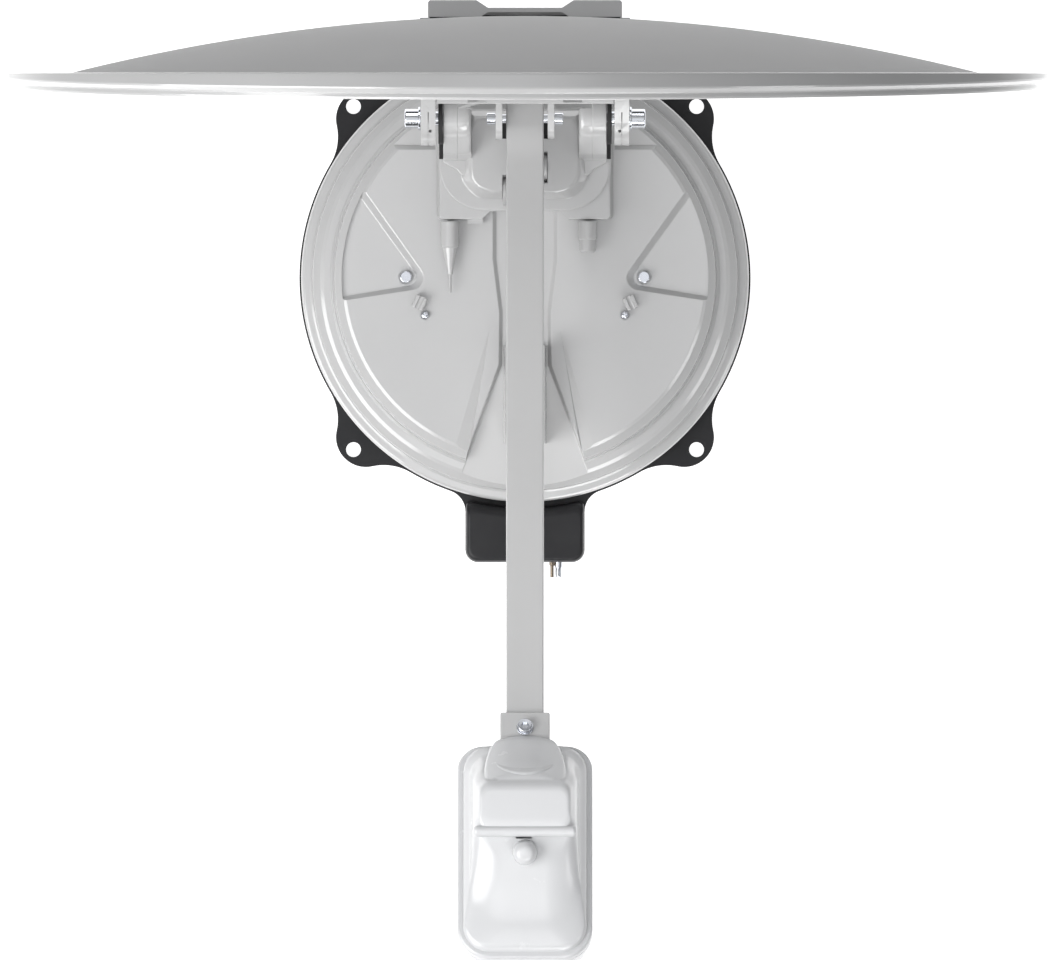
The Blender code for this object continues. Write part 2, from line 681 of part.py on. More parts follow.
def build_carrier(paint, tilt):
    """The levers, ears and web that turn on the tilt axis, with their bolts and the arm's pin."""
    offset = (0.0, -AXIS_Y, -AXIS_Z)
    for side, name in SIDES:
        ends = sorted((side * LEVER_INNER, side * LEVER_OUTER))
        lever = moved(prism(lever_outline(), *ends, "X"), offset)
        lever = add_object("carrier_lever_" + name, lever, paint["grey"], tilt, smooth=30)
        bore = cylinder(BOLT_RADIUS + GAP, BOLT_INNER_END, LEVER_OUTER + CUT, 24, outward(side))
        combine(lever, add_object("lever_bore_" + name, bore, parent=tilt), "DIFFERENCE")
        bolt = lathe(BOLT_PROFILE, 24, outward(side))
        add_object("pivot_bolt_" + name, bolt, paint["chrome"], tilt, smooth=30)

        ends = sorted((side * EAR_INNER, side * EAR_OUTER))
        outline = arc((AXIS_Y, AXIS_Z), EAR_RADIUS, 120, 330, 14) + list(EAR_NECK)
        ear = moved(prism(outline, *ends, "X"), offset)
        ear = add_object("arm_ear_" + name, ear, paint["grey"], tilt, smooth=30)
        bore = cylinder(ARM_PIN_RADIUS + GAP, 0.0, EAR_OUTER + CUT, 20, outward(side))
        combine(ear, add_object("ear_bore_" + name, bore, parent=tilt), "DIFFERENCE")

    half = LEVER_INNER - GAP
    web = moved(box((-half, WEB_FRONT, WEB_BOTTOM), (half, WEB_REAR, WEB_TOP)), offset)
    bevel(add_object("cross_web", web, paint["grey"], tilt), 0.001)
    collar = EAR_OUTER + GAP
    pin = (
        (0.0, -ARM_PIN_END),
        (ARM_PIN_HEAD, -ARM_PIN_END),
        (ARM_PIN_HEAD, -collar),
        (ARM_PIN_RADIUS, -collar),
        (ARM_PIN_RADIUS, collar),
        (ARM_PIN_HEAD, collar),
        (ARM_PIN_HEAD, ARM_PIN_END),
        (0.0, ARM_PIN_END),
    )
    add_object("arm_pin", lathe(pin, 20, "X"), paint["chrome"], tilt, smooth=30)


def build_holder(paint, tilt):
    """The cross holder behind the reflector, with a stud at each of its four fixing points."""
    holder = moved(prism(mirrored(HOLDER_OUTLINE), HOLDER_BOTTOM, HOLDER_TOP), (0.0, -AXIS_Y, -AXIS_Z))
    holder = add_object("dish_holder", holder, paint["grey"], tilt)
    root = HOLDER_FRONT + STUD_ROOT
    for side, _ in SIDES:
        for height in STUD_HEIGHTS:
            seat = dish_back(STUD_X - STUD_RADIUS, height + STUD_RADIUS) + GAP
            stud = cylinder(STUD_RADIUS, 0.0, root - seat, 16, "-Y")
            stud = moved(stud, (side * STUD_X, root - AXIS_Y, height - AXIS_Z))
            combine(holder, add_object("stud_join", stud, parent=tilt), "UNION")


def rim_depth(angle):
    """How far the flange's front edge stands before the datum: shallow at the sides, deep at the crown."""
    height = math.sin(angle)
    soft = RIM_SOFTENING
    share = (math.hypot(height, soft) - soft) / (math.hypot(1.0, soft) - soft)
    return RIM_SIDE + (RIM_CROWN - RIM_SIDE) * share


def reflector_ring(radius, depth, follows_rim=False):
    """An oval ring of the reflector, which can follow the rim's uneven front edge."""
    points = []
    for step in range(DISH_STEPS):
        angle = 2 * math.pi * step / DISH_STEPS
        y = depth - (rim_depth(angle) if follows_rim else 0.0)
        height = radius * math.sin(angle) * DISH_HEIGHT / DISH_WIDTH
        points.append((radius * math.cos(angle), y, height))
    return points


def build_reflector(paint, tilt):
    """The pressed reflector: its back, its deep rim and its front, in one shell."""
    edge = DISH_WIDTH / 2
    depths = [(BOWL_RADIUS * share, BOWL_DEPTH * (1 - share**2)) for share in BOWL_SHARES]
    sections = [[(0.0, BOWL_DEPTH, 0.0)]]
    sections += [reflector_ring(radius, depth) for radius, depth in depths]
    sections.append(reflector_ring(edge, 0.0))
    sections += [reflector_ring(edge - inset, depth, True) for inset, depth in RIM_STEPS]
    sections.append(reflector_ring(edge - RIM_INNER, -SHELL))
    sections += [reflector_ring(radius, depth - SHELL) for radius, depth in reversed(depths)]
    sections.append([(0.0, BOWL_DEPTH - SHELL, 0.0)])
    dish = add_object("reflector", loft(sections), paint["grey"], tilt, smooth=12)
    dish.location = (0.0, DISH_DATUM_Y - AXIS_Y, DISH_CENTRE_Z - AXIS_Z)
    dish.rotation_euler.x = DISH_LEAN


def build_feed_arm(paint, arm):
    """The square tube on its pin, with the clamp and its screw at the far end."""
    low, high = (-TUBE_HALF_WIDTH, TUBE_LOW), (TUBE_HALF_WIDTH, TUBE_HIGH)
    tube = prism(rounded_rectangle(low, high, (TUBE_CORNER,) * 4, 2), TUBE_FRONT, TUBE_REAR, "Y")
    tube = add_object("feed_arm_tube", tube, paint["grey"], arm, smooth=40)
    wall = TUBE_WALL
    inside = box(
        (low[0] + wall, TUBE_FRONT - CUT, low[1] + wall),
        (high[0] - wall, TUBE_REAR + CUT, high[1] - wall),
    )
    combine(tube, add_object("tube_cutter", inside, parent=arm), "DIFFERENCE")
    bore = cylinder(ARM_PIN_RADIUS + GAP, -ARM_PIN_END, ARM_PIN_END, 20, "X")
    combine(tube, add_object("pin_cutter", bore, parent=arm), "DIFFERENCE")

    clamp = box((-CLAMP_HALF_WIDTH, CLAMP_FRONT, CLAMP_LOW), (CLAMP_HALF_WIDTH, TUBE_FRONT - GAP, CLAMP_HIGH))
    bevel(add_object("arm_clamp", clamp, paint["grey"], arm), 0.0015)
    place = (0.0, CLAMP_SCREW_Y, CLAMP_HIGH + GAP)
    screw = moved(lathe(CLAMP_SCREW_PROFILE, 24), place)
    screw = add_object("clamp_screw", screw, paint["steel"], arm, smooth=30)
    socket = moved(cylinder(HEX_RADIUS, HEX_FLOOR, CUT, 6), place)
    combine(screw, add_object("hex_cutter", socket, parent=arm), "DIFFERENCE")


def build_feed_unit(paint, arm):
    """The tray and cover of the feed unit, the window over its horn and the knob on its cover."""
    sections = []
    for inset, height in TRAY_LEVELS:
        low = (-TRAY_HALF_WIDTH + inset, TRAY_FRONT + inset)
        high = (TRAY_HALF_WIDTH - inset, TRAY_REAR - inset)
        sections.append(at_height(rounded_rectangle(low, high, TRAY_CORNERS, 6), height))
    add_object("lnb_tray", loft(sections), paint["white"], arm, smooth=40)

    sections = []
    for half, rear, front, corner, height in COVER_LEVELS:
        outline = rounded_rectangle((-half, -front), (half, -rear), (corner,) * 4, 5)
        sections.append(at_height(outline, height))
    add_object("lnb_cover", loft(sections), paint["white"], arm, smooth=50)

    window = moved(lathe(WINDOW_PROFILE, 40), WINDOW_CENTRE, WINDOW_PITCH - math.pi / 2, "X")
    add_object("horn_window", window, paint["white"], arm, smooth=30)
    knob = moved(lathe(KNOB_PROFILE, 28), KNOB_CENTRE, KNOB_SLOPE, "X")
    add_object("cover_knob", knob, paint["white"], arm, smooth=40)


def main():
    """Build every part at its angle of rest."""
    clear_scene()
    paint = {
        "grey": finish_of("grey_paint", (0.62, 0.62, 0.63), 0.45),
        "black": finish_of("black_shell", (0.035, 0.035, 0.040), 0.55),
        "white": finish_of("white_gloss", (0.86, 0.87, 0.88), 0.18),
        "chrome": finish_of("chrome_metal", (0.78, 0.80, 0.83), 0.12, 1.0),
        "steel": finish_of("screw_steel", (0.66, 0.67, 0.69), 0.28, 1.0),
        "bronze": finish_of("bronze_pin", (0.30, 0.26, 0.20), 0.35, 1.0),
        "rubber": finish_of("dark_rubber", (0.020, 0.020, 0.022), 0.75),
    }
    azimuth = axis_empty("azimuth_axis", (0.0, 0.0, 0.0))
    arm = axis_empty("arm_axis", (0.0, AXIS_Y, AXIS_Z), azimuth, -ARM_RISE)
    tilt = axis_empty("carrier_axis", (0.0, AXIS_Y, AXIS_Z), azimuth)
    build_base(paint)
    build_head(paint, azimuth)
    build_head_fittings(paint, azimuth)
    build_housing(paint, azimuth)
    build_towers(paint, azimuth)
    build_carrier(paint, tilt)
    build_holder(paint, tilt)
    build_reflector(paint, tilt)
    build_feed_arm(paint, arm)
    build_feed_unit(paint, arm)


main()
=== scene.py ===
"""Looks of the motorized satellite dish: finished meshes, materials, studio and camera.

Everything is in metres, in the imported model's frame: +Z up, the azimuth axis on the origin, and the
reflector facing -Y. Each sub-assembly is a class that models its pieces and hands them to the shop,
which dresses them and seats them on their body.
"""

from __future__ import annotations

import json
import logging
import math
from contextlib import contextmanager
from dataclasses import dataclass, field
from enum import Enum
from typing import Callable, ClassVar, Iterator, Sequence

import bmesh
import bpy
from mathutils import Matrix, Vector
from mathutils.kdtree import KDTree


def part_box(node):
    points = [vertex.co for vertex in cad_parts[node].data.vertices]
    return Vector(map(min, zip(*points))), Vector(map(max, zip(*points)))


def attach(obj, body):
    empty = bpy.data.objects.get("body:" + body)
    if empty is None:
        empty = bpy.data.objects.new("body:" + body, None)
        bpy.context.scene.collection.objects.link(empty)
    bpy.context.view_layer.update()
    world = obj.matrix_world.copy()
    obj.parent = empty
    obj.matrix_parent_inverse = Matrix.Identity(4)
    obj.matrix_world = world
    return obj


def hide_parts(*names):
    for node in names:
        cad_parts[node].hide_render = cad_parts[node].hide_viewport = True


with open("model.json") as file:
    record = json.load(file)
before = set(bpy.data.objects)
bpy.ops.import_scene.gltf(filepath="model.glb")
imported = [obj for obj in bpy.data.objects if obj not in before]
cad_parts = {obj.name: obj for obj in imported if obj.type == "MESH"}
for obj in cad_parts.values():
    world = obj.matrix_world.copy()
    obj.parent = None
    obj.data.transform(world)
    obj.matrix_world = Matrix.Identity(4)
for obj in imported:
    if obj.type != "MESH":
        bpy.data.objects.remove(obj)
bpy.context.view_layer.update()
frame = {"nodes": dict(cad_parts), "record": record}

LOG = logging.getLogger("dish")
Flat = tuple[float, float]
Point = tuple[float, float, float]
Item = bpy.types.Object
SIDES = ((-1, "left"), (1, "right"))
TILT_AXIS = Vector((0.0, 0.130, 0.120))
ARM_RISE = math.radians(20.0)
ARM_FRAME = Matrix.Translation(TILT_AXIS) @ Matrix.Rotation(-ARM_RISE, 4, "X")
MERGE = 1e-6
CUT = 0.020


class Body(Enum):
    """The four bodies that move against each other."""

    BASE = "base"
    TURNTABLE = "turntable"
    ARM = "feed_arm"
    CARRIER = "dish_carrier"


class Slot(Enum):
    """The record's material slots."""

    GREY = "grey_paint"
    BLACK = "black_shell"
    WHITE = "white_gloss"
    CHROME = "chrome_metal"
    STEEL = "screw_steel"
    BRONZE = "bronze_pin"
    RUBBER = "dark_rubber"


class Way(Enum):
    """The direction in which a turned or extruded piece runs."""

    RIGHT = "right"
    LEFT = "left"
    FRONT = "front"
    UP = "up"

    def matrix(self) -> Matrix:
        """Find the turn from straight up to this direction.

        Returns:
            The turn about the origin.
        """
        if self is Way.UP:
            return Matrix.Identity(4)
        angle = -math.pi / 2 if self is Way.LEFT else math.pi / 2
        return Matrix.Rotation(angle, 4, "X" if self is Way.FRONT else "Y")


def outward(side: int) -> Way:
    """The direction away from the middle plane on one side."""
    return Way.RIGHT if side > 0 else Way.LEFT


# Outlines


def arc(centre: Flat, radius: float, start: float, end: float, steps: int) -> list[Flat]:
    """Points on an arc, with its angles in degrees."""
    angles = [math.radians(start + (end - start) * step / steps) for step in range(steps + 1)]
    return [(centre[0] + radius * math.cos(a), centre[1] + radius * math.sin(a)) for a in angles]


def filleted(corners: Sequence[Point], steps: int = 6, closed: bool = True) -> list[Flat]:
    """Round the corners of an outline.

    Args:
        corners: Each corner's two coordinates and its radius, zero for a sharp one.
        steps: How many facets a rounded corner has.
        closed: Whether the last corner leads back to the first.

    Returns:
        The outline's points, in order.
    """
    points: list[Flat] = []
    count = len(corners)
    for index, (x, y, radius) in enumerate(corners):
        if radius <= 0.0 or (not closed and index in (0, count - 1)):
            points.append((x, y))
            continue
        here = Vector((x, y))
        before = (Vector(corners[index - 1][:2]) - here).normalized()
        after = (Vector(corners[(index + 1) % count][:2]) - here).normalized()
        half = before.angle(after) / 2
        centre = here + (before + after).normalized() * radius / math.sin(half)
        start = here + before * radius / math.tan(half) - centre
        sweep = math.pi - 2 * half
        if before.x * after.y - before.y * after.x > 0.0:
            sweep = -sweep
        for step in range(steps + 1):
            spoke = start.copy()
            spoke.rotate(Matrix.Rotation(sweep * step / steps, 2))
            points.append((centre.x + spoke.x, centre.y + spoke.y))
    return points


def flowing(points: Sequence[Flat], steps: int = 4) -> list[Flat]:
    """Draw a smooth open curve through points.

    Args:
        points: The points that it goes through.
        steps: How many steps it takes between each two of them.

    Returns:
        The curve's points, in order.
    """
    curve: list[Flat] = []
    ends = [Vector(point) for point in (points[0], *points, points[-1])]
    for a, b, c, d in zip(ends, ends[1:], ends[2:], ends[3:]):
        for step in range(steps):
            t = step / steps
            square = (2 * a - 5 * b + 4 * c - d) * t * t
            place = 0.5 * (2 * b + (c - a) * t + square + (3 * b - a - 3 * c + d) * t**3)
            curve.append((place.x, place.y))
    return curve + [tuple(points[-1])]


def both_sides(right: Sequence[Flat]) -> list[Flat]:
    """A closed outline from its right half."""
    return list(right) + [(-x, y) for x, y in reversed(right) if abs(x) > MERGE]


def rectangle(half: float, front: float, rear: float, radii: Flat, steps: int = 8) -> list[Flat]:
    """A rectangle about the middle plane, with the radii of its front and rear corners."""
    right = [(half, front, radii[0]), (half, rear, radii[1])]
    return filleted([(-half, front, radii[0]), *right, (-half, rear, radii[1])], steps)


def at_height(outline: Sequence[Flat], height: float) -> list[Point]:
    """An outline's points at one height."""
    return [(x, y, height) for x, y in outline]


def span(side: int, near: float, far: float) -> list[float]:
    """Two distances from the middle plane on one side, as rising places along X."""
    return sorted((side * near, side * far))


def blended(first: Sequence[Flat], second: Sequence[Flat], share: float) -> list[Flat]:
    """An outline between two outlines, or beyond them."""
    return [(a[0] + (b[0] - a[0]) * share, a[1] + (b[1] - a[1]) * share) for a, b in zip(first, second)]


# Modelling helpers: each one works in edit mode on a piece of its own


def activate(item: Item) -> None:
    """Make one object the only selected and active one.

    Args:
        item: The object.
    """
    bpy.ops.object.select_all(action="DESELECT")
    item.select_set(True)
    bpy.context.view_layer.objects.active = item


@contextmanager
def editing(item: Item) -> Iterator[None]:
    """Open an object in edit mode with all its points selected, and close it again.

    Args:
        item: The object to edit.
    """
    activate(item)
    bpy.ops.object.mode_set(mode="EDIT")
    bpy.ops.mesh.select_mode(type="VERT")
    bpy.ops.mesh.select_all(action="SELECT")
    yield
    bpy.ops.object.mode_set(mode="OBJECT")


def pick(item: Item, kind: str, test: Callable[[object], bool]) -> int:
    """Select the elements that pass a test, and nothing else.

    Args:
        item: The object, in edit mode.
        kind: verts, edges or faces.
        test: Says of an element whether it is selected.

    Returns:
        How many elements were selected.
    """
    bpy.ops.mesh.select_all(action="DESELECT")
    mesh = bmesh.from_edit_mesh(item.data)
    chosen = [element for element in getattr(mesh, kind) if test(element)]
    for element in chosen:
        element.select_set(True)
    bmesh.update_edit_mesh(item.data)
    return len(chosen)


def pen(name: str, points: Sequence[Point], closed: bool) -> Item:
    """Draw a line by extruding one point along it.

    Args:
        name: The new object's name.
        points: The points that the line goes through.
        closed: Whether it comes back to its start.

    Returns:
        The object, which holds the line's edges alone.
    """
    bpy.ops.object.select_all(action="DESELECT")
    bpy.ops.mesh.primitive_plane_add(size=0.001, location=(0.0, 0.0, 0.0))
    item = bpy.context.object
    item.name = item.data.name = name
    with editing(item):
        bpy.ops.mesh.merge(type="CENTER")
        bpy.ops.transform.translate(value=points[0])
        for start, end in zip(points, points[1:]):
            step = tuple(b - a for a, b in zip(start, end))
            bpy.ops.mesh.extrude_region_move(TRANSFORM_OT_translate={"value": step})
        if closed:
            pick(item, "verts", lambda vert: len(vert.link_edges) < 2)
            bpy.ops.mesh.edge_face_add()
    return item


def tidy_normals(item: Item) -> Item:
    """Merge doubled points and turn the faces outwards.

    Args:
        item: The object.

    Returns:
        The same object.
    """
    with editing(item):
        bpy.ops.mesh.remove_doubles(threshold=MERGE)
        bpy.ops.mesh.normals_make_consistent(inside=False)
    return item


def placed(item: Item, matrix: Matrix) -> Item:
    """Move an object and apply its place, so that it is in its mesh.

    Args:
        item: The object.
        matrix: The move.

    Returns:
        The same object.
    """
    activate(item)
    item.matrix_world = matrix @ item.matrix_world
    bpy.ops.object.transform_apply(location=True, rotation=True, scale=True)
    return item


def skinned(name: str, sections: Sequence[Sequence[Point]]) -> Item:
    """Draw the first section, fill it, and extrude its face through the others.

    Args:
        name: The new object's name.
        sections: Outlines with the same number of points, in order.

    Returns:
        The closed solid.
    """
    item = pen(name, sections[0], closed=True)
    with editing(item):
        bpy.ops.mesh.edge_face_add()
        for before, section in zip(sections, sections[1:]):
            bpy.ops.mesh.extrude_region_move(TRANSFORM_OT_translate={"value": (0.0, 0.0, 0.0)})
            seats = KDTree(len(before))
            for index, point in enumerate(before):
                seats.insert(point, index)
            seats.balance()
            mesh = bmesh.from_edit_mesh(item.data)
            for vert in [vert for vert in mesh.verts if vert.select]:
                vert.co = section[seats.find(vert.co)[1]]
            bmesh.update_edit_mesh(item.data)
    return tidy_normals(item)


def plate(name: str, outline: Sequence[Flat], low: float, high: float) -> Item:
    """Extrude one outline between two heights.

    Args:
        name: The new object's name.
        outline: The slab's outline.
        low: The height of its underside.
        high: The height of its top.

    Returns:
        The slab.
    """
    item = pen(name, at_height(outline, low), closed=True)
    with editing(item):
        bpy.ops.mesh.edge_face_add()
        bpy.ops.mesh.extrude_region_move(TRANSFORM_OT_translate={"value": (0.0, 0.0, high - low)})
    return tidy_normals(item)


def side_plate(name: str, outline: Sequence[Flat], low: float, high: float) -> Item:
    """A slab whose outline is (y, z), between two places along X."""
    item = plate(name, outline, low, high)
    return placed(item, Matrix(((0, 0, 1, 0), (1, 0, 0, 0), (0, 1, 0, 0), (0, 0, 0, 1))))


def block(name: str, low: Sequence[float], high: Sequence[float]) -> Item:
    """Add a rectangular block.

    Args:
        name: The new object's name.
        low: Its lowest corner.
        high: Its highest corner.

    Returns:
        The block, with its place in its mesh.
    """
    middle = [(a + b) / 2 for a, b in zip(low, high)]
    bpy.ops.object.select_all(action="DESELECT")
    bpy.ops.mesh.primitive_cube_add(size=1.0, location=middle, scale=[b - a for a, b in zip(low, high)])
    item = bpy.context.object
    item.name = item.data.name = name
    return placed(item, Matrix.Identity(4))


def turned(
    name: str,
    profile: Sequence[Flat],
    steps: int = 64,
    way: Way = Way.UP,
    place: Sequence[float] = (0, 0, 0),
) -> Item:
    """Spin a profile into a turned piece.

    Args:
        name: The new object's name.
        profile: Radius and height points, from the axis back to the axis, or a closed loop off it.
        steps: How many facets go round.
        way: The way in which the heights run.
        place: Where the axis starts.

    Returns:
        The turned piece, with closed poles.
    """
    item = pen(name, [(radius, 0.0, height) for radius, height in profile], closed=profile[0][0] > MERGE)
    with editing(item):
        bpy.ops.mesh.spin(steps=steps, angle=math.tau, center=(0, 0, 0), axis=(0, 0, 1))
    tidy_normals(item)
    return placed(item, Matrix.Translation(place) @ way.matrix())


def lathed(name: str, corners: Sequence[Point], rounding: int, steps: int, *seat: object) -> Item:
    """Turn a solid whose profile has rounded corners.

    Args:
        name: The new object's name.
        corners: Radius, height and corner radius, from the axis back to the axis.
        rounding: How many facets a rounded corner has.
        steps: How many facets go round.
        seat: The way and the place, as turned takes them.

    Returns:
        The turned piece.
    """
    return turned(name, filleted(corners, rounding, closed=False), steps, *seat)


def rod(name: str, radius: float, low: float, high: float, steps: int = 32, **seat: object) -> Item:
    """A plain round bar, most often a cutter."""
    return turned(name, ((0.0, low), (radius, low), (radius, high), (0.0, high)), steps, **seat)


def applied(item: Item, kind: str, **settings: object) -> Item:
    """Give an object a modifier and apply it.

    Args:
        item: The object.
        kind: The modifier's type.
        settings: The modifier's own settings.

    Returns:
        The same object.
    """
    activate(item)
    modifier = item.modifiers.new(kind.lower(), kind)
    for name, value in settings.items():
        setattr(modifier, name, value)
    bpy.ops.object.modifier_apply(modifier=modifier.name)
    return item


def joined(item: Item, operation: str, tools: Sequence[Item]) -> Item:
    """Apply Booleans with tools that are used up.

    Args:
        item: The piece that is worked on.
        operation: DIFFERENCE or UNION.
        tools: The solids that are cut out or joined on, and then removed.

    Returns:
        The same piece.
    """
    for tool in tools:
        applied(item, "BOOLEAN", operation=operation, solver="EXACT", object=tool)
        bpy.data.objects.remove(tool, do_unlink=True)
    return item


def cut(item: Item, *tools: Item) -> Item:
    """Cut tools out of a piece."""
    return joined(item, "DIFFERENCE", tools)


def fuse(item: Item, *tools: Item) -> Item:
    """Join solids to a piece."""
    return joined(item, "UNION", tools)


def rounded(item: Item, width: float, segments: int = 3, angle: float = 30.0) -> Item:
    """Round a piece's sharp edges.

    Args:
        item: The piece.
        width: How wide the rounding is.
        segments: How many facets it has.
        angle: Edges sharper than this angle in degrees are rounded.

    Returns:
        The same piece.
    """
    return applied(
        item,
        "BEVEL",
        width=width,
        segments=segments,
        limit_method="ANGLE",
        angle_limit=math.radians(angle),
        harden_normals=False,
    )


def smoothed(item: Item, angle: float = 35.0) -> Item:
    """Blend the shading of faces that meet at a small angle, with large faces kept flat.

    Args:
        item: The piece.
        angle: The angle in degrees up to which faces blend.

    Returns:
        The same piece.
    """
    activate(item)
    bpy.ops.object.shade_smooth_by_angle(angle=math.radians(angle))
    return applied(item, "WEIGHTED_NORMAL", keep_sharp=True, weight=50)


def traced(node: str) -> Item:
    """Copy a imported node's mesh, merged and with its flat faces whole again.

    Args:
        node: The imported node.

    Returns:
        The copy, which has _body behind its name.
    """
    item = bpy.data.objects.new(node + "_body", frame["nodes"][node].data.copy())
    bpy.context.scene.collection.objects.link(item)
    with editing(item):
        bpy.ops.mesh.remove_doubles(threshold=2e-5)
        bpy.ops.mesh.dissolve_limited(angle_limit=math.radians(1.0))
    return item


# Materials


class Wiring:
    """Adds nodes to a tree and joins them."""

    def __init__(self, tree: bpy.types.NodeTree) -> None:
        """Start with an empty tree."""
        self.tree = tree
        self.tree.nodes.clear()

    def add(self, kind: str, inputs: dict[str, object] | None = None, **settings: object) -> bpy.types.Node:
        """Add a node.

        Args:
            kind: The node's type name, without the ShaderNode in front.
            inputs: Values or sockets for its inputs, by name or number.
            settings: Its own settings.

        Returns:
            The node.
        """
        node = self.tree.nodes.new(kind if kind.startswith("Node") else "ShaderNode" + kind)
        for name, value in settings.items():
            setattr(node, name, value)
        for name, value in (inputs or {}).items():
            self.feed(node.inputs[name], value)
        return node

    def feed(self, socket: bpy.types.NodeSocket, value: object) -> None:
        """Link a socket to another one, or set its value.

        Args:
            socket: The input.
            value: An output to link it to, or a value.
        """
        if isinstance(value, bpy.types.NodeSocket):
            self.tree.links.new(value, socket)
        else:
            socket.default_value = value

    def math(self, operation: str, *values: object) -> bpy.types.NodeSocket:
        """The result of a Math node."""
        return self.add("Math", dict(enumerate(values)), operation=operation).outputs[0]

    def noise(
        self, scale: object, detail: float, vector: object, roughness: float = 0.5
    ) -> bpy.types.NodeSocket:
        """The value of a noise texture."""
        inputs = {"Scale": scale, "Detail": detail, "Roughness": roughness, "Vector": vector}
        return self.add("TexNoise", inputs).outputs["Fac"]


class Effects:
    """The node groups that several finishes share."""

    def __init__(self) -> None:
        """Build each group once."""
        self.mottle = self.build_mottle()
        self.grain = self.build_grain()
        self.brushing = self.build_brushing()
        self.dust = self.build_dust()

    @staticmethod
    def group(
        name: str, inputs: dict[str, object], outputs: dict[str, str]
    ) -> tuple[bpy.types.NodeTree, Wiring]:
        """Make an empty group with named sockets.

        Args:
            name: The group's name.
            inputs: The first value of each input, a number or a colour.
            outputs: The kind of each output, Float, Color or Vector.

        Returns:
            The group and its wiring.
        """
        tree = bpy.data.node_groups.new(name, "ShaderNodeTree")
        for label, value in inputs.items():
            kind = "NodeSocketFloat" if isinstance(value, float) else "NodeSocketColor"
            socket = tree.interface.new_socket(name=label, in_out="INPUT", socket_type=kind)
            socket.default_value = value
        for label, kind in outputs.items():
            tree.interface.new_socket(name=label, in_out="OUTPUT", socket_type="NodeSocket" + kind)
        return tree, Wiring(tree)

    def build_mottle(self) -> bpy.types.NodeTree:
        """Uneven tone: broad clouds and fine flecks over a base colour.

        Returns:
            The node group.
        """
        sockets = {"Colour": (1.0, 1.0, 1.0, 1.0), "Clouds": 9.0, "Amount": 0.05}
        tree, wires = self.group("uneven_tone", sockets, {"Colour": "Color"})
        given = wires.add("NodeGroupInput").outputs
        place = wires.add("TexCoord").outputs["Object"]
        clouds = wires.noise(given["Clouds"], 4.0, place)
        flecks = wires.noise(900.0, 2.0, place)
        mixed = wires.math("MULTIPLY_ADD", flecks, 0.35, clouds)
        swing = wires.math("MULTIPLY", wires.math("SUBTRACT", mixed, 0.675), given["Amount"])
        tone = wires.math("ADD", wires.math("MULTIPLY", swing, 2.0), 1.0)
        result = wires.add("VectorMath", {0: given["Colour"], "Scale": tone}, operation="SCALE").outputs[0]
        wires.add("NodeGroupOutput", {"Colour": result})
        return tree

    def build_grain(self) -> bpy.types.NodeTree:
        """Fine surface relief: soft orange peel with a finer grain on it.

        Returns:
            The node group.
        """
        sockets = {"Peel": 350.0, "Grain": 2200.0, "Grain share": 0.3}
        tree, wires = self.group("surface_grain", sockets, {"Height": "Float"})
        given = wires.add("NodeGroupInput").outputs
        place = wires.add("TexCoord").outputs["Object"]
        peel = wires.noise(given["Peel"], 2.0, place)
        grain = wires.noise(given["Grain"], 3.0, place, 0.65)
        height = wires.math("MULTIPLY_ADD", grain, given["Grain share"], peel)
        wires.add("NodeGroupOutput", {"Height": height})
        return tree

    def build_brushing(self) -> bpy.types.NodeTree:
        """Fine turning marks and light scratches on bare metal.

        Returns:
            The node group.
        """
        tree, wires = self.group("turning_marks", {"Lines": 3000.0}, {"Height": "Float", "Mask": "Float"})
        given = wires.add("NodeGroupInput").outputs
        place = wires.add("TexCoord").outputs["Object"]
        stretched = wires.add("Mapping", {"Vector": place, "Scale": (1.0, 0.06, 0.06)}).outputs[0]
        lines = wires.noise(given["Lines"], 2.0, stretched)
        patches = wires.noise(160.0, 3.0, place)
        wires.add("NodeGroupOutput", {"Height": lines, "Mask": wires.math("MULTIPLY", lines, patches)})
        return tree

    def build_dust(self) -> bpy.types.NodeTree:
        """A thin film that settles where a surface faces up.

        Returns:
            The node group.
        """
        tree, wires = self.group("settled_dust", {"Amount": 0.1}, {"Mask": "Float"})
        given = wires.add("NodeGroupInput").outputs
        place = wires.add("TexCoord").outputs["Object"]
        upward = wires.add("SeparateXYZ", {0: wires.add("NewGeometry").outputs["Normal"]}).outputs["Z"]
        facing = wires.math("POWER", wires.math("MAXIMUM", upward, 0.0), 2.0)
        patches = wires.noise(26.0, 5.0, place, 0.6)
        film = wires.add("MapRange", {"Value": patches, "From Min": 0.35, "From Max": 0.75}).outputs[0]
        mask = wires.math("MULTIPLY", wires.math("MULTIPLY", facing, film), given["Amount"])
        wires.add("NodeGroupOutput", {"Mask": mask})
        return tree


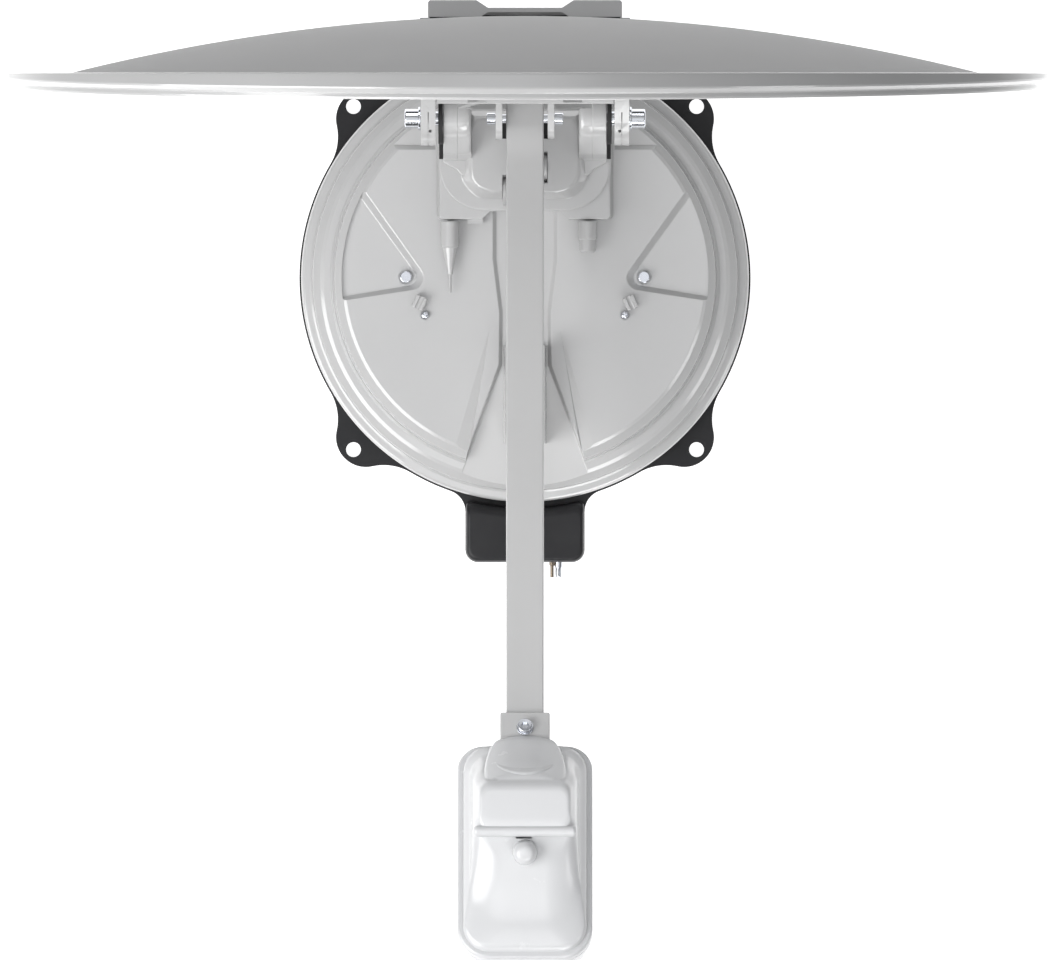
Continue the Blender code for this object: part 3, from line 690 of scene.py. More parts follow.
@dataclass(frozen=True)
class Finish:
    """A coated or moulded surface.

    Attributes:
        slot: The material slot that it dresses.
        colour: Its base colour, linear.
        roughness: Its middle roughness, and how far it swings.
        mottle: How strongly its tone varies, and the size of the clouds.
        relief: The peel's scale, the grain's scale, the grain's share and the relief's depth in metres.
        dust: How much dust lies on it.
        dust_colour: The dust's colour, linear.
        metallic: One for bare metal.
        coat: The weight and roughness of a clear coat.
        gloss: The specular level under the coat and the coat's refraction index.
        brushed: Whether it shows turning marks in place of the peel and grain.
    """

    slot: Slot
    colour: tuple[float, float, float]
    roughness: tuple[float, float]
    mottle: tuple[float, float] = (0.06, 9.0)
    relief: tuple[float, float, float, float] = (350.0, 2200.0, 0.3, 0.00003)
    dust: float = 0.08
    dust_colour: tuple[float, float, float] = (0.72, 0.70, 0.66)
    metallic: float = 0.0
    coat: tuple[float, float] = (0.0, 0.1)
    gloss: tuple[float, float] = (0.5, 1.5)
    brushed: bool = False

    def material(self, effects: Effects) -> bpy.types.Material:
        """Build the material.

        Args:
            effects: The shared node groups.

        Returns:
            The finished material.
        """
        material = bpy.data.materials.new(self.slot.value + "_finish")
        material.use_nodes = True
        wires = Wiring(material.node_tree)
        mottle = {"Colour": (*self.colour, 1.0), "Amount": self.mottle[0], "Clouds": self.mottle[1]}
        tone = wires.add("Group", mottle, node_tree=effects.mottle).outputs[0]
        film = wires.add("Group", {"Amount": self.dust}, node_tree=effects.dust).outputs["Mask"]
        layers = {0: film, 6: tone, 7: (*self.dust_colour, 1.0)}
        colour = wires.add("Mix", layers, data_type="RGBA").outputs[2]
        if self.brushed:
            marks = wires.add("Group", {"Lines": 3000.0}, node_tree=effects.brushing)
            height, swing = marks.outputs["Height"], marks.outputs["Mask"]
        else:
            peel, grain, share, _ = self.relief
            relief = {"Peel": peel, "Grain": grain, "Grain share": share}
            height = wires.add("Group", relief, node_tree=effects.grain).outputs["Height"]
            swing = wires.noise(48.0, 4.0, wires.add("TexCoord").outputs["Object"], 0.6)
        middle, reach = self.roughness
        ramp = {"Value": swing, "From Min": 0.3, "From Max": 0.7}
        ramp |= {"To Min": middle - reach, "To Max": middle + reach}
        rough = wires.math("MULTIPLY_ADD", film, 0.4, wires.add("MapRange", ramp).outputs[0])
        bump = wires.add("Bump", {"Height": height, "Distance": self.relief[3], "Strength": 1.0})
        shader = wires.add(
            "BsdfPrincipled",
            {
                "Base Color": colour,
                "Roughness": rough,
                "Normal": bump.outputs[0],
                "Metallic": self.metallic,
                "Coat Weight": self.coat[0],
                "Coat Roughness": self.coat[1],
                "Coat IOR": self.gloss[1],
                "Specular IOR Level": self.gloss[0],
            },
        )
        wires.add("OutputMaterial", {"Surface": shader.outputs[0]})
        return material


FINISHES = (
    Finish(
        Slot.GREY,
        (0.545, 0.545, 0.545),
        (0.34, 0.05),
        mottle=(0.03, 7.0),
        relief=(420.0, 2600.0, 0.35, 0.000010),
        dust=0.03,
        coat=(1.0, 0.11),
        gloss=(0.7, 1.62),
    ),
    Finish(
        Slot.BLACK,
        (0.010, 0.010, 0.012),
        (0.42, 0.08),
        mottle=(0.12, 14.0),
        relief=(900.0, 3600.0, 0.6, 0.00003),
        dust=0.008,
        gloss=(0.42, 1.5),
    ),
    Finish(
        Slot.WHITE,
        (0.64, 0.645, 0.655),
        (0.24, 0.04),
        mottle=(0.015, 6.0),
        relief=(120.0, 1400.0, 0.05, 0.000006),
        dust=0.01,
        coat=(0.4, 0.12),
    ),
    Finish(Slot.CHROME, (0.78, 0.80, 0.84), (0.10, 0.05), metallic=1.0, brushed=True, dust=0.0),
    Finish(Slot.STEEL, (0.74, 0.76, 0.81), (0.26, 0.08), metallic=1.0, brushed=True, dust=0.0),
    Finish(Slot.BRONZE, (0.22, 0.18, 0.14), (0.34, 0.10), metallic=1.0, brushed=True, dust=0.02),
    Finish(Slot.RUBBER, (0.012, 0.012, 0.013), (0.65, 0.10), relief=(700.0, 3000.0, 0.5, 0.00004), dust=0.02),
)


BACK_FINISH = Finish(
    Slot.GREY,
    (0.62, 0.62, 0.62),
    (0.75, 0.05),
    mottle=(0.03, 12.0),
    relief=(500.0, 2600.0, 0.5, 0.00001),
    dust=0.0,
)


@dataclass
class Shop:
    """Dresses finished pieces and seats them on their bodies.

    Attributes:
        materials: The material of each slot.
        back: The duller material of the reflector's back.
    """

    materials: dict[Slot, bpy.types.Material] = field(default_factory=dict)
    back: bpy.types.Material | None = None

    def stock(self) -> None:
        """Make every finish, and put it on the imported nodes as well."""
        effects = Effects()
        self.materials = {finish.slot: finish.material(effects) for finish in FINISHES}
        self.back = BACK_FINISH.material(effects)
        self.back.name = "reflector_back_finish"
        for part in frame["record"]["subparts"]:
            node = frame["nodes"][part["node"]]
            node.data.materials.clear()
            node.data.materials.append(self.materials[Slot(part["material_slot"])])

    def deliver(self, item: Item, body: Body, slot: Slot, *nodes: str, angle: float = 35.0) -> Item:
        """Smooth a piece, dress it and seat it.

        Args:
            item: The finished piece.
            body: The body that it moves with.
            slot: The finish that it takes.
            nodes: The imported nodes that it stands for.
            angle: The angle under which its faces blend.

        Returns:
            The piece.
        """
        smoothed(item, angle)
        item.data.materials.clear()
        item.data.materials.append(self.materials[slot])
        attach(item, body.value)
        if nodes:
            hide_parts(*nodes)
        LOG.info("%s rides on %s, %d faces", item.name, body.value, len(item.data.polygons))
        return item


@dataclass
class Assembly:
    """A sub-assembly whose pieces all move with one body.

    Attributes:
        body: The body.
        shop: Where its pieces are dressed.
    """

    body: ClassVar[Body]
    shop: Shop

    def seat(self, item: Item, slot: Slot, *nodes: str, angle: float = 35.0) -> Item:
        """Have a finished piece dressed and seated on this assembly's body."""
        return self.shop.deliver(item, self.body, slot, *nodes, angle=angle)


@dataclass
class Base(Assembly):
    """The plate that is bolted down, with what stands on it.

    Attributes:
        radius: The plate's radius.
        thickness: Its thickness.
        tab: How far the tabs' flat edges stand from the axis, their corner radius and their root radius.
        tongue: The tongue's half width, front, corner radius and root radius.
        hole: The bolt holes' distance from the middle planes and their radius.
        box: The connector box's half width and its front.
        box_levels: Inset, sweep of the rear and height of each level of the connector box.
        socket: Where the coaxial socket starts.
        pin: Where the ground pin starts.
        reach: How far both stand out.
    """

    body: ClassVar[Body] = Body.BASE
    radius: float = 0.1854
    thickness: float = 0.010
    tab: Point = (0.1554, 0.0246, 0.044)
    tongue: tuple[float, float, float, float] = (0.049, -0.2336, 0.0103, 0.018)
    hole: Flat = (0.141, 0.0061)
    box: Flat = (0.0486, -0.2333)
    box_levels: tuple[Point, ...] = (
        (0.0, 0.1884, 0.0103),
        (0.0, 0.1884, 0.0205),
        (0.0006, 0.1888, 0.0208),
        (0.0006, 0.1888, 0.0216),
        (0.0, 0.1886, 0.0219),
        (0.0, 0.1892, 0.0262),
        (0.0002, 0.1902, 0.0290),
        (0.0006, 0.1920, 0.0315),
        (0.0014, 0.1940, 0.0331),
        (0.0026, 0.1962, 0.0339),
        (0.0040, 0.1975, 0.0340),
    )
    socket: Point = (0.0276, -0.2336, 0.020)
    pin: Point = (0.0222, -0.2336, 0.020)
    reach: float = 0.0125

    def build(self) -> None:
        """Model and seat every piece of the base."""
        self.build_plate()
        self.build_drum()
        self.build_box()
        self.build_sockets()

    def outline(self) -> list[Flat]:
        """Draw the round plate with its four tabs and its tongue.

        Returns:
            The outline's points, starting at the first tab.
        """
        edge, corner, root = self.tab
        inner = edge - corner
        far, away, near = self.radius + root, inner * math.sqrt(2), corner + root
        slope = 45 - math.degrees(math.acos((far**2 + away**2 - near**2) / (2 * far * away)))
        neck = (far * math.cos(math.radians(slope)), far * math.sin(math.radians(slope)))
        lean = math.degrees(math.atan2(inner - neck[1], neck[0] - inner))
        tab = arc(neck, root, 180 + slope, 180 - lean, 12)
        tab += arc((inner, inner), corner, -lean, 90 + lean, 28)[1:-1]
        tab += arc((neck[1], neck[0]), root, 270 + lean, 270 - slope, 12)
        half, front, round_, fillet = self.tongue
        drop = math.sqrt((self.radius + fillet) ** 2 - (half + fillet) ** 2)
        lean = math.degrees(math.atan2(half + fillet, drop))
        tongue = arc((-half - fillet, -drop), fillet, 90 - lean, 0, 8)
        tongue += arc((-half + round_, front + round_), round_, 180, 270, 8)
        tongue += arc((half - round_, front + round_), round_, 270, 360, 8)
        tongue += arc((half + fillet, -drop), fillet, 180, 90 + lean, 8)
        points: list[Flat] = []
        for quarter in range(4):
            for x, y in tab:
                spoke = Vector((x, y))
                spoke.rotate(Matrix.Rotation(math.radians(90 * quarter), 2))
                points.append((spoke.x, spoke.y))
            start, end = 90 * quarter + 90 - slope, 90 * quarter + 90 + slope
            if quarter == 2:
                points += arc((0, 0), self.radius, start, 270 - lean, 8)[1:-1] + tongue
                points += arc((0, 0), self.radius, 270 + lean, end, 8)[1:-1]
            else:
                points += arc((0, 0), self.radius, start, end, 32)[1:-1]
        return points

    def build_plate(self) -> None:
        """The plate, with its bolt holes."""
        item = plate("base_plate_moulding", self.outline(), 0.0, self.thickness)
        far, radius = self.hole
        for x, y in ((-far, -far), (-far, far), (far, -far), (far, far)):
            cut(item, rod("hole", radius, -CUT, CUT, 40, place=(x, y, 0.0)))
        rounded(item, 0.0015, 3, 50)
        self.seat(item, Slot.BLACK, "base_plate")

    def build_drum(self) -> None:
        """The low drum that the turntable turns on."""
        low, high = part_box("base_drum")
        shape = ((0, low.z, 0), (high.x, low.z, 0), (high.x, high.z, 0.0008), (0, high.z, 0))
        self.seat(lathed("base_drum_ring", shape, 3, 160), Slot.BLACK, "base_drum")

    def build_box(self) -> None:
        """The connector box, whose rear follows the turntable, with the seam under its lid."""
        half, front = self.box
        front_radius, rear_radius = 0.0095, 0.004
        sections = []
        for inset, sweep, height in self.box_levels:
            side = half - inset
            lean = math.degrees(math.asin((side - 0.006) / sweep))
            rear = arc((0.0, 0.0), sweep, 270 + lean, 270 - lean, 16)
            corners = [(x, front + inset, front_radius) for x in (-side, side)]
            corners += [(side, rear[0][1], rear_radius), *at_height(rear, 0.0)]
            corners.append((-side, rear[-1][1], rear_radius))
            sections.append(at_height(filleted(corners, 8), height))
        item = skinned("connector_box_shell", sections)
        self.seat(item, Slot.BLACK, "connector_box", angle=50)

    def build_sockets(self) -> None:
        """The threaded coaxial socket with its centre pin, and the ground pin with its collar."""
        pitch, turns = 0.0008, 9
        body, root, crest, bore, wire = 0.0033, 0.0026, 0.0029, 0.0017, 0.0005
        start = self.reach - turns * pitch - 0.0006
        thread = [(0.0, 0.0), (body, 0.0), (body, start - 0.0006), (root, start - 0.0004)]
        for turn in range(turns):
            low = start + turn * pitch
            thread += [(root, low + 0.0001), (crest, low + 0.0004), (crest, low + 0.0005)]
        thread += [(root, self.reach - 0.0003), (0.0024, self.reach), (bore, self.reach)]
        thread += [(bore, 0.006), (wire, 0.006), (0.0004, 0.009), (0.0, 0.0093)]
        item = turned("coax_socket_thread", thread, 40, Way.FRONT, self.socket)
        self.seat(item, Slot.CHROME, "coax_socket")
        collar, rod_radius = 0.0023, 0.00145
        shape = ((0, 0, 0), (collar, 0, 0), (collar, 0.0026, 0.0005), (rod_radius, 0.0030, 0))
        shape += ((rod_radius, self.reach, 0.0007), (0, self.reach, 0))
        item = lathed("ground_pin_rod", shape, 5, 32, Way.FRONT, self.pin)
        self.seat(item, Slot.BRONZE, "ground_pin")


@dataclass
class Head(Assembly):
    """The round turntable head, its recesses and its small fittings.

    Attributes:
        plateau: The height of the flat top.
        pocket_floor: The height of the sunken wedges' floor.
        wall: How far the wedges' walls run in on their way down.
        rings: Radius, height and edge radius of each ring, from the bottom edge to the plateau.
        channel: Distance along Y, floor's half width, rim's half width and floor's height along the channel.
        pocket_screw: The place of the right wedge's socket screw.
        clip_screw: The place of the right cable clip's screw.
    """

    body: ClassVar[Body] = Body.TURNTABLE
    plateau: float = 0.065
    pocket_floor: float = 0.060
    wall: float = 0.0055
    rings: tuple[Point, ...] = (
        (0.1815, 0.0193, 0.0006),
        (0.1839, 0.0215, 0.0010),
        (0.1839, 0.0308, 0.0010),
        (0.1828, 0.0329, 0.0008),
        (0.1812, 0.0336, 0.0006),
        (0.1768, 0.0342, 0.0006),
        (0.1751, 0.0350, 0.0005),
        (0.1742, 0.0424, 0.0008),
        (0.1685, 0.0473, 0.0012),
        (0.1655, 0.0485, 0.0010),
        (0.1602, 0.0491, 0.0006),
        (0.1587, 0.0501, 0.0006),
        (0.1571, 0.0497, 0.0005),
        (0.1562, 0.0582, 0.0008),
        (0.1500, 0.0640, 0.0012),
        (0.1474, 0.0650, 0.0010),
    )
    channel: tuple[tuple[float, float, float, float], ...] = (
        (0.0545, 0.0236, 0.0264, 0.0615),
        (0.0154, 0.0236, 0.0264, 0.0615),
        (-0.0292, 0.0184, 0.0210, 0.0615),
        (-0.0510, 0.0188, 0.0212, 0.0615),
        (-0.0720, 0.0188, 0.0218, 0.0615),
        (-0.0900, 0.0262, 0.0280, 0.0592),
        (-0.1300, 0.0412, 0.0428, 0.0532),
        (-0.1700, 0.0560, 0.0571, 0.0455),
    )
    pocket_screw: Flat = (0.0977, 0.0006)
    clip_screw: Flat = (0.082, -0.0306)

    def build(self) -> None:
        """Model and seat every piece of the head."""
        shape = ((0, self.rings[0][1], 0), *self.rings, (0, self.plateau, 0))
        item = lathed("head_cover_casting", shape, 5, 240)
        wells = ((self.pocket_screw, 0.0062, 0.0584), (self.clip_screw, 0.0040, 0.0636))
        for side, _ in SIDES:
            cut(item, self.pocket_cutter(side), self.step_cutter(side), self.facet_cutter(side))
            for (x, y), radius, floor in wells:
                cut(item, rod("well", radius, floor, 0.09, 40, place=(side * x, y, 0.0)))
        cut(item, self.channel_cutter())
        self.seat(item, Slot.GREY, "head_cover", angle=28)
        self.build_rest()
        self.build_fittings()

    def pocket_cutter(self, side: int) -> Item:
        """Model the cutter for a sunken wedge, whose walls round off at the rim and the floor.

        Args:
            side: The side, -1 or 1.

        Returns:
            The cutter.
        """
        wedges = []
        for start, end, tip in (
            (-7.2, 28.6, (0.0755, -0.0075, 0.0105)),
            (-5.9, 26.1, (0.0840, -0.0045, 0.0070)),
        ):
            outer = arc((0, 0), 0.1506, start, end, 24)
            wedges.append(outer + filleted(((*outer[-1], 0), tip, (*outer[0], 0)), 12)[1:-1])
        rim, floor = wedges
        top, low = self.plateau, self.pocket_floor
        wall = [(-0.0030, top + 0.00002, 0), (0.0, top, 0.0022)]
        wall += [(self.wall, low, 0.0018), (self.wall + 0.0025, low, 0)]
        steps = filleted(wall, 6, closed=False)
        sections = [at_height(blended(rim, floor, -0.6), top + CUT)]
        sections += [at_height(blended(rim, floor, inset / self.wall), height) for inset, height in steps]
        if side < 0:
            sections = [[(-x, y, z) for x, y, z in section] for section in sections]
        return skinned("pocket_cutter", sections)

    def step_cutter(self, side: int) -> Item:
        """Model the cutter for the plateau's lower rear corner, with a face that slopes back.

        Args:
            side: The side, -1 or 1.

        Returns:
            The cutter.
        """
        top, rear = self.plateau, 0.1600
        outline = [(0.1048, top + 0.0002), (0.1090, 0.0608), (rear, 0.0600)]
        outline += [(rear, top + CUT), (0.1030, top + CUT)]
        return side_plate("step_cutter", outline, *span(side, 0.0735, 0.1500))

    def facet_cutter(self, side: int) -> Item:
        """Model the cutter for the long facet beside the channel, from its tip out to the rim.

        Args:
            side: The side, -1 or 1.

        Returns:
            The cutter.
        """
        top = self.plateau
        sections = []
        for y, inner, outer, depth, scale in (
            (-0.0440, 0.0290, 0.0298, 0.0002, 0.1),
            (-0.1465, 0.0466, 0.0592, 0.0015, 1.0),
        ):
            corners = (
                (inner - 0.0010 * scale, top + 0.00002, 0),
                (inner, top - 0.0001, 0.0006 * scale),
                (inner + 0.0010 * scale, top - depth, 0.0008 * scale),
                (outer, top, 0.008 * scale),
                (outer + 0.0015 * scale, top + 0.00002, 0),
                (outer + 0.0015 * scale, top + CUT, 0),
                (inner - 0.0010 * scale, top + CUT, 0),
            )
            sections.append([(side * x, y, z) for x, z in filleted(corners, 5)])
        return skinned("facet_cutter", sections)

    def channel_cutter(self) -> Item:
        """Model the cutter for the channel under the arm, whose floor falls to the front.

        Returns:
            The cutter.
        """
        sections = []
        for y, floor_half, rim_half, floor in self.channel:
            lip = rim_half + 0.002
            right = [
                (floor_half, floor, 0.0012),
                (rim_half, self.plateau, 0.0014),
                (lip, self.plateau + 0.00002, 0),
                (lip, self.plateau + CUT, 0),
            ]
            corners = right + [(-x, z, radius) for x, z, radius in reversed(right)]
            sections.append([(x, y, z) for x, z in filleted(corners, 5)])
        return skinned("channel_cutter", sections)

    def build_rest(self) -> None:
        """The trough that the arm comes to lie in, with its tops drawn in a little."""
        item = traced("arm_rest")
        with editing(item):
            pick(item, "verts", lambda vert: abs(vert.co.x) > 0.0175 and vert.co.z > 0.09)
            bpy.ops.transform.resize(value=(0.9, 1.0, 1.0), center_override=(0.0, 0.0, 0.0))
        self.seat(rounded(item, 0.0004, 2), Slot.GREY, "arm_rest")

    def build_fittings(self) -> None:
        """The socket screws in the wedges, and the cable clips with their screws."""
        for side, name in SIDES:
            self.build_pocket_screw(side, name)
            self.build_clip(side, name)
            self.build_clip_screw(side, name)

    def build_pocket_screw(self, side: int, name: str) -> None:
        """A wedge's screw, with the hexagon socket in its head.

        Args:
            side: The side, -1 or 1.
            name: The side's name.
        """
        x, y, floor = side * self.pocket_screw[0], self.pocket_screw[1], self.pocket_floor + 0.0003
        shape = ((0, -0.0017, 0), (0.0049, -0.0017, 0.0001), (0.0049, 0.0050, 0.0009), (0, 0.0050, 0))
        screw = lathed("pocket_screw_head_" + name, shape, 4, 48, Way.UP, (x, y, floor))
        cut(screw, rod("socket", 0.0024, floor + 0.0022, floor + CUT, 6, place=(x, y, 0)))
        self.seat(screw, Slot.STEEL, "pocket_screw_" + name)

    def build_clip(self, side: int, name: str) -> None:
        """A cable clip, with the groove that the cable lies in.

        Args:
            side: The side, -1 or 1.
            name: The side's name.
        """
        clip = traced("cable_clip_" + name)
        middle = sum(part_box("cable_clip_" + name), Vector()) / 2
        groove = rod("groove", 0.0021, -CUT, CUT, 24, way=Way.FRONT)
        turn = Matrix.Rotation(math.radians(side * 25), 4, "Z")
        cut(clip, placed(groove, Matrix.Translation((middle.x, middle.y, self.plateau + 0.0085)) @ turn))
        self.seat(rounded(clip, 0.0004, 2, 40), Slot.GREY, "cable_clip_" + name)

    def build_clip_screw(self, side: int, name: str) -> None:
        """A cable clip's screw, with the cross in its head.

        Args:
            side: The side, -1 or 1.
            name: The side's name.
        """
        place = (side * self.clip_screw[0], self.clip_screw[1], self.plateau + 0.0003)
        shape = ((0, -0.0014, 0), (0.0032, -0.0014, 0), (0.0032, 0.0040, 0.0014), (0, 0.0046, 0))
        screw = lathed("clip_screw_head_" + name, shape, 5, 36, Way.UP, place)
        for turn in (20.0, 110.0):
            slot = block("slot", (-0.0021, -0.0004, 0.0030), (0.0021, 0.0004, 0.0080))
            cut(screw, placed(slot, Matrix.Translation(place) @ Matrix.Rotation(math.radians(turn), 4, "Z")))
        self.seat(screw, Slot.STEEL, "clip_screw_" + name)


@dataclass
class TiltHousing(Assembly):
    """The housing over the tilt drive, with its dome, its towers and its glands.

    Attributes:
        bottom: The height of the housing's underside.
        ledge: The height of the low ledge round the housing.
        tier: The height of the round-fronted tier on it.
        slot: The height from which the drive slots and their rollers are open.
        foot: Right half of the dome's foot, from the middle of its front to the flare beside the tower.
        crown: Right half of the dome's top edge.
        tower_front: Corners, as (y, z) and radius, of the towers' fronts under their arches.
        left_gland: Where the left gland starts.
        right_gland: Where the right gland starts.
    """

    body: ClassVar[Body] = Body.TURNTABLE
    bottom: float = 0.0653
    ledge: float = 0.0776
    tier: float = 0.0815
    slot: float = 0.0822
    foot: tuple[Flat, ...] = (
        (0.0, 0.0641),
        (0.0189, 0.0643),
        (0.0352, 0.0646),
        (0.0434, 0.0692),
        (0.0495, 0.0763),
        (0.0520, 0.0812),
        (0.0525, 0.0850),
        (0.0521, 0.0890),
        (0.0516, 0.0937),
    )
    crown: tuple[Flat, ...] = (
        (0.0, 0.0700),
        (0.0189, 0.0700),
        (0.0271, 0.0702),
        (0.0352, 0.0733),
        (0.0400, 0.0770),
        (0.0425, 0.0815),
        (0.0436, 0.0860),
        (0.0440, 0.0900),
        (0.0442, 0.0940),
    )
    tower_front: tuple[Point, ...] = ((0.1012, 0.1040, 0.022), (0.0975, 0.0892, 0.010))
    left_gland: Point = (-0.0615, 0.0470, 0.0735)
    right_gland: Point = (0.0513, 0.0470, 0.0735)

    def build(self) -> None:
        """Model and seat every piece of the housing."""
        self.build_block()
        self.build_dome()
        self.build_towers()
        self.build_glands()

    def build_block(self) -> None:
        """The housing's drafted block with its tier, its nub and the gap in the middle of its front."""
        levels = (
            (0.0725, 0.0473, 0.0042, self.bottom),
            (0.0725, 0.0473, 0.0042, self.bottom + 0.0010),
            (0.0720, 0.0476, 0.0038, self.bottom + 0.0014),
            (0.0702, 0.0479, 0.0034, self.ledge - 0.0012),
            (0.0698, 0.0481, 0.0032, self.ledge - 0.0004),
            (0.0685, 0.0493, 0.0027, self.ledge),
        )
        sections = [
            at_height(rectangle(half, front, 0.140, (corner, 0.030)), height)
            for half, front, corner, height in levels
        ]
        item = skinned("tilt_housing_casting", sections)
        gap = [(-0.036, 0.040), (0.036, 0.040), (0.036, 0.0478)]
        gap += [(0.0285, 0.0545), (-0.0285, 0.0545), (-0.036, 0.0478)]
        cut(item, plate("gap", gap, self.bottom - CUT, self.ledge + CUT))
        buried, rear = 0.068, 0.139
        foot = plate("foot", rectangle(0.0705, 0.0546, rear, (0.037, 0.028), 24), buried, self.ledge + 0.0012)
        steps = ((0.0, buried), (0.0, self.tier - 0.0008), (0.0003, self.tier - 0.0004), (0.0017, self.tier))
        sections = [
            at_height(rectangle(0.0698 - inset, 0.0554 + inset, rear, (0.036 - inset, 0.028), 24), height)
            for inset, height in steps
        ]
        tier = skinned("tier", sections)
        nub = block("nub", (-0.0472, 0.0443, 0.0668), (-0.0344, 0.0500, 0.0722))
        fuse(item, foot, tier, nub)
        rounded(item, 0.0004, 2, 40)
        self.seat(item, Slot.GREY, "tilt_housing", angle=30)

    def build_dome(self) -> None:
        """The domed cap, whose foot flares out in front of the towers."""
        foot = flowing(self.foot)
        crown = flowing(self.crown)
        behind = ((0.0516, 0.0972), (0.0516, 0.0990), (0.0516, 0.128), (0.0480, 0.138), (0.0, 0.138))
        over = ((0.0444, 0.0985), (0.0445, 0.1000), (0.0445, 0.122), (0.0400, 0.131), (0.0, 0.131))
        low = both_sides(foot + list(behind))
        high = both_sides(crown + list(over))
        start, end = self.tier + 0.0003, 0.0920
        levels = (
            (0.0, start),
            (0.0, start + 0.0009),
            (0.13, start + 0.0013),
            (0.25, start + 0.0028),
            (0.42, start + 0.0045),
            (0.58, start + 0.0062),
            (0.73, start + 0.0078),
            (0.86, start + 0.0090),
            (0.98, start + 0.0097),
            (1.12, end - 0.00005),
            (1.25, end),
        )
        sections = [at_height(blended(low, high, share), height) for share, height in levels]
        item = skinned("housing_dome", sections)
        open_top = 0.12
        for side, front, rear in ((-1, 0.0577, 0.0840), (1, 0.0773, 0.1032)):
            near, far = span(side, 0.0148, 0.0186)
            cut(item, block("slot", (near, front, self.slot), (far, rear, open_top)))
        for side, name in SIDES:
            front, rear, play = 0.1138, 0.1330, 0.0001
            near, far = span(side, 0.0140, 0.0190)
            cut(item, block("slot", (near, front, self.slot), (far, rear, open_top)))
            # The dark rubber block in each of these slots is painted shade: it stands for the deep, shadowed
            # gap beside the arm's pin.
            corner = (near + play, front + play, self.slot)
            shade_block = block("drive_slot_shade_" + name, corner, (far - play, rear - play, 0.0905))
            self.seat(shade_block, Slot.RUBBER)
        fuse(item, *(self.saddle(side) for side, _ in SIDES), *(self.shelf(side) for side, _ in SIDES))
        self.seat(item, Slot.GREY, "housing_cap", angle=40)
        self.build_rollers()

    def build_rollers(self) -> None:
        """The two rollers whose rims stand out of the slots beside the arm."""
        half, rim = 0.0012, 0.0118
        shape = ((0, -half, 0), (rim, -half, 0.0003), (rim, half, 0.0003), (0, half, 0))
        for side, name, middle, height in ((-1, "left", 0.0708, 0.0800), (1, "right", 0.0902, 0.0822)):
            place = (side * 0.0168, middle, height)
            roller = lathed("drive_roller_" + name, shape, 3, 72, Way.RIGHT, place)
            cut(roller, block("half", (-0.1, 0.0, 0.0), (0.1, 0.2, self.slot)))
            self.seat(roller, Slot.GREY)

    def arch(self, radius: float, start: float, steps: int, foot: Sequence[Point]) -> list[Flat]:
        """A tower's outline from the side.

        Args:
            radius: The radius of the arch over the tilt axis.
            start: The angle at which the arch starts behind, in degrees.
            steps: How many facets the arch has.
            foot: The corners under the tower's front.

        Returns:
            The outline's (y, z) points, from behind over the top down to the foot.
        """
        over = arc((TILT_AXIS.y, TILT_AXIS.z), radius, start, 152, steps)
        return over[:-1] + filleted(((*over[-1], 0), *self.tower_front, *foot), 8, closed=False)

    def shelf(self, side: int) -> Item:
        """Model the flat shelf in front of a tower, whose edge runs on from the dome's foot.

        Args:
            side: The side, -1 or 1.

        Returns:
            The shelf.
        """
        edge = flowing(((0.0519, 0.0837), (0.0561, 0.0884), (0.0612, 0.0910), (0.0672, 0.0946)))
        outline = edge + [(0.0672, 0.1010), (0.0430, 0.1010), (0.0430, 0.0837)]
        return rounded(plate("shelf", [(side * x, y) for x, y in outline], 0.0818, 0.0858), 0.0013, 4, 50)

    def saddle(self, side: int) -> Item:
        """Model the shoulder that carries a tower's arch inwards to the dome's top.

        Args:
            side: The side, -1 or 1.

        Returns:
            The shoulder.
        """
        radii = {0.0552: 0.0177, 0.0525: 0.0178, 0.0485: 0.0176}
        radii |= {0.0462: 0.0170, 0.0448: 0.0158, 0.0440: 0.0140}
        sections = []
        for x, radius in radii.items():
            outline = self.arch(radius, 62, 24, [(0.0944, 0.0830, 0)]) + [(0.1370, 0.0830)]
            sections.append([(side * x, y, z) for y, z in outline])
        return skinned("saddle", sections)

    def build_towers(self) -> None:
        """The bearing towers, their dark discs, and dark strips of painted shade in front of the discs, where
        the gaps lie deep in shade.
        """
        low, high, bore, rim = 0.0673, 0.0710, 0.0063, 0.021
        ring = filleted(((bore, low, 0), (rim, low, 0.0004), (rim, high, 0.0008), (bore, high, 0.0004)), 4)
        strip = ((0.0972, 0.0830), (0.1020, 0.0900), (0.1080, 0.0990), (0.1140, 0.1050), (0.1180, 0.0830))
        outline = self.arch(0.018, -28, 36, [(0.0944, 0.0832, 0), (0.0944, 0.0821, 0)]) + [(0.138, 0.0821)]
        for side, name in SIDES:
            tower = side_plate("bearing_tower_arch_" + name, outline, *span(side, 0.0550, 0.0670))
            rounded(tower, 0.0016, 4, 50)
            self.seat(tower, Slot.GREY, "bearing_tower_" + name)
            disc = turned("bearing_disc_ring_" + name, ring, 72, outward(side), TILT_AXIS)
            self.seat(disc, Slot.RUBBER, "bearing_disc_" + name)
            # This dark strip is painted shade for the deep gap in front of the disc.
            shade_block = side_plate("tower_gap_shade_" + name, strip, *span(side, 0.0672, 0.0704))
            self.seat(shade_block, Slot.RUBBER)

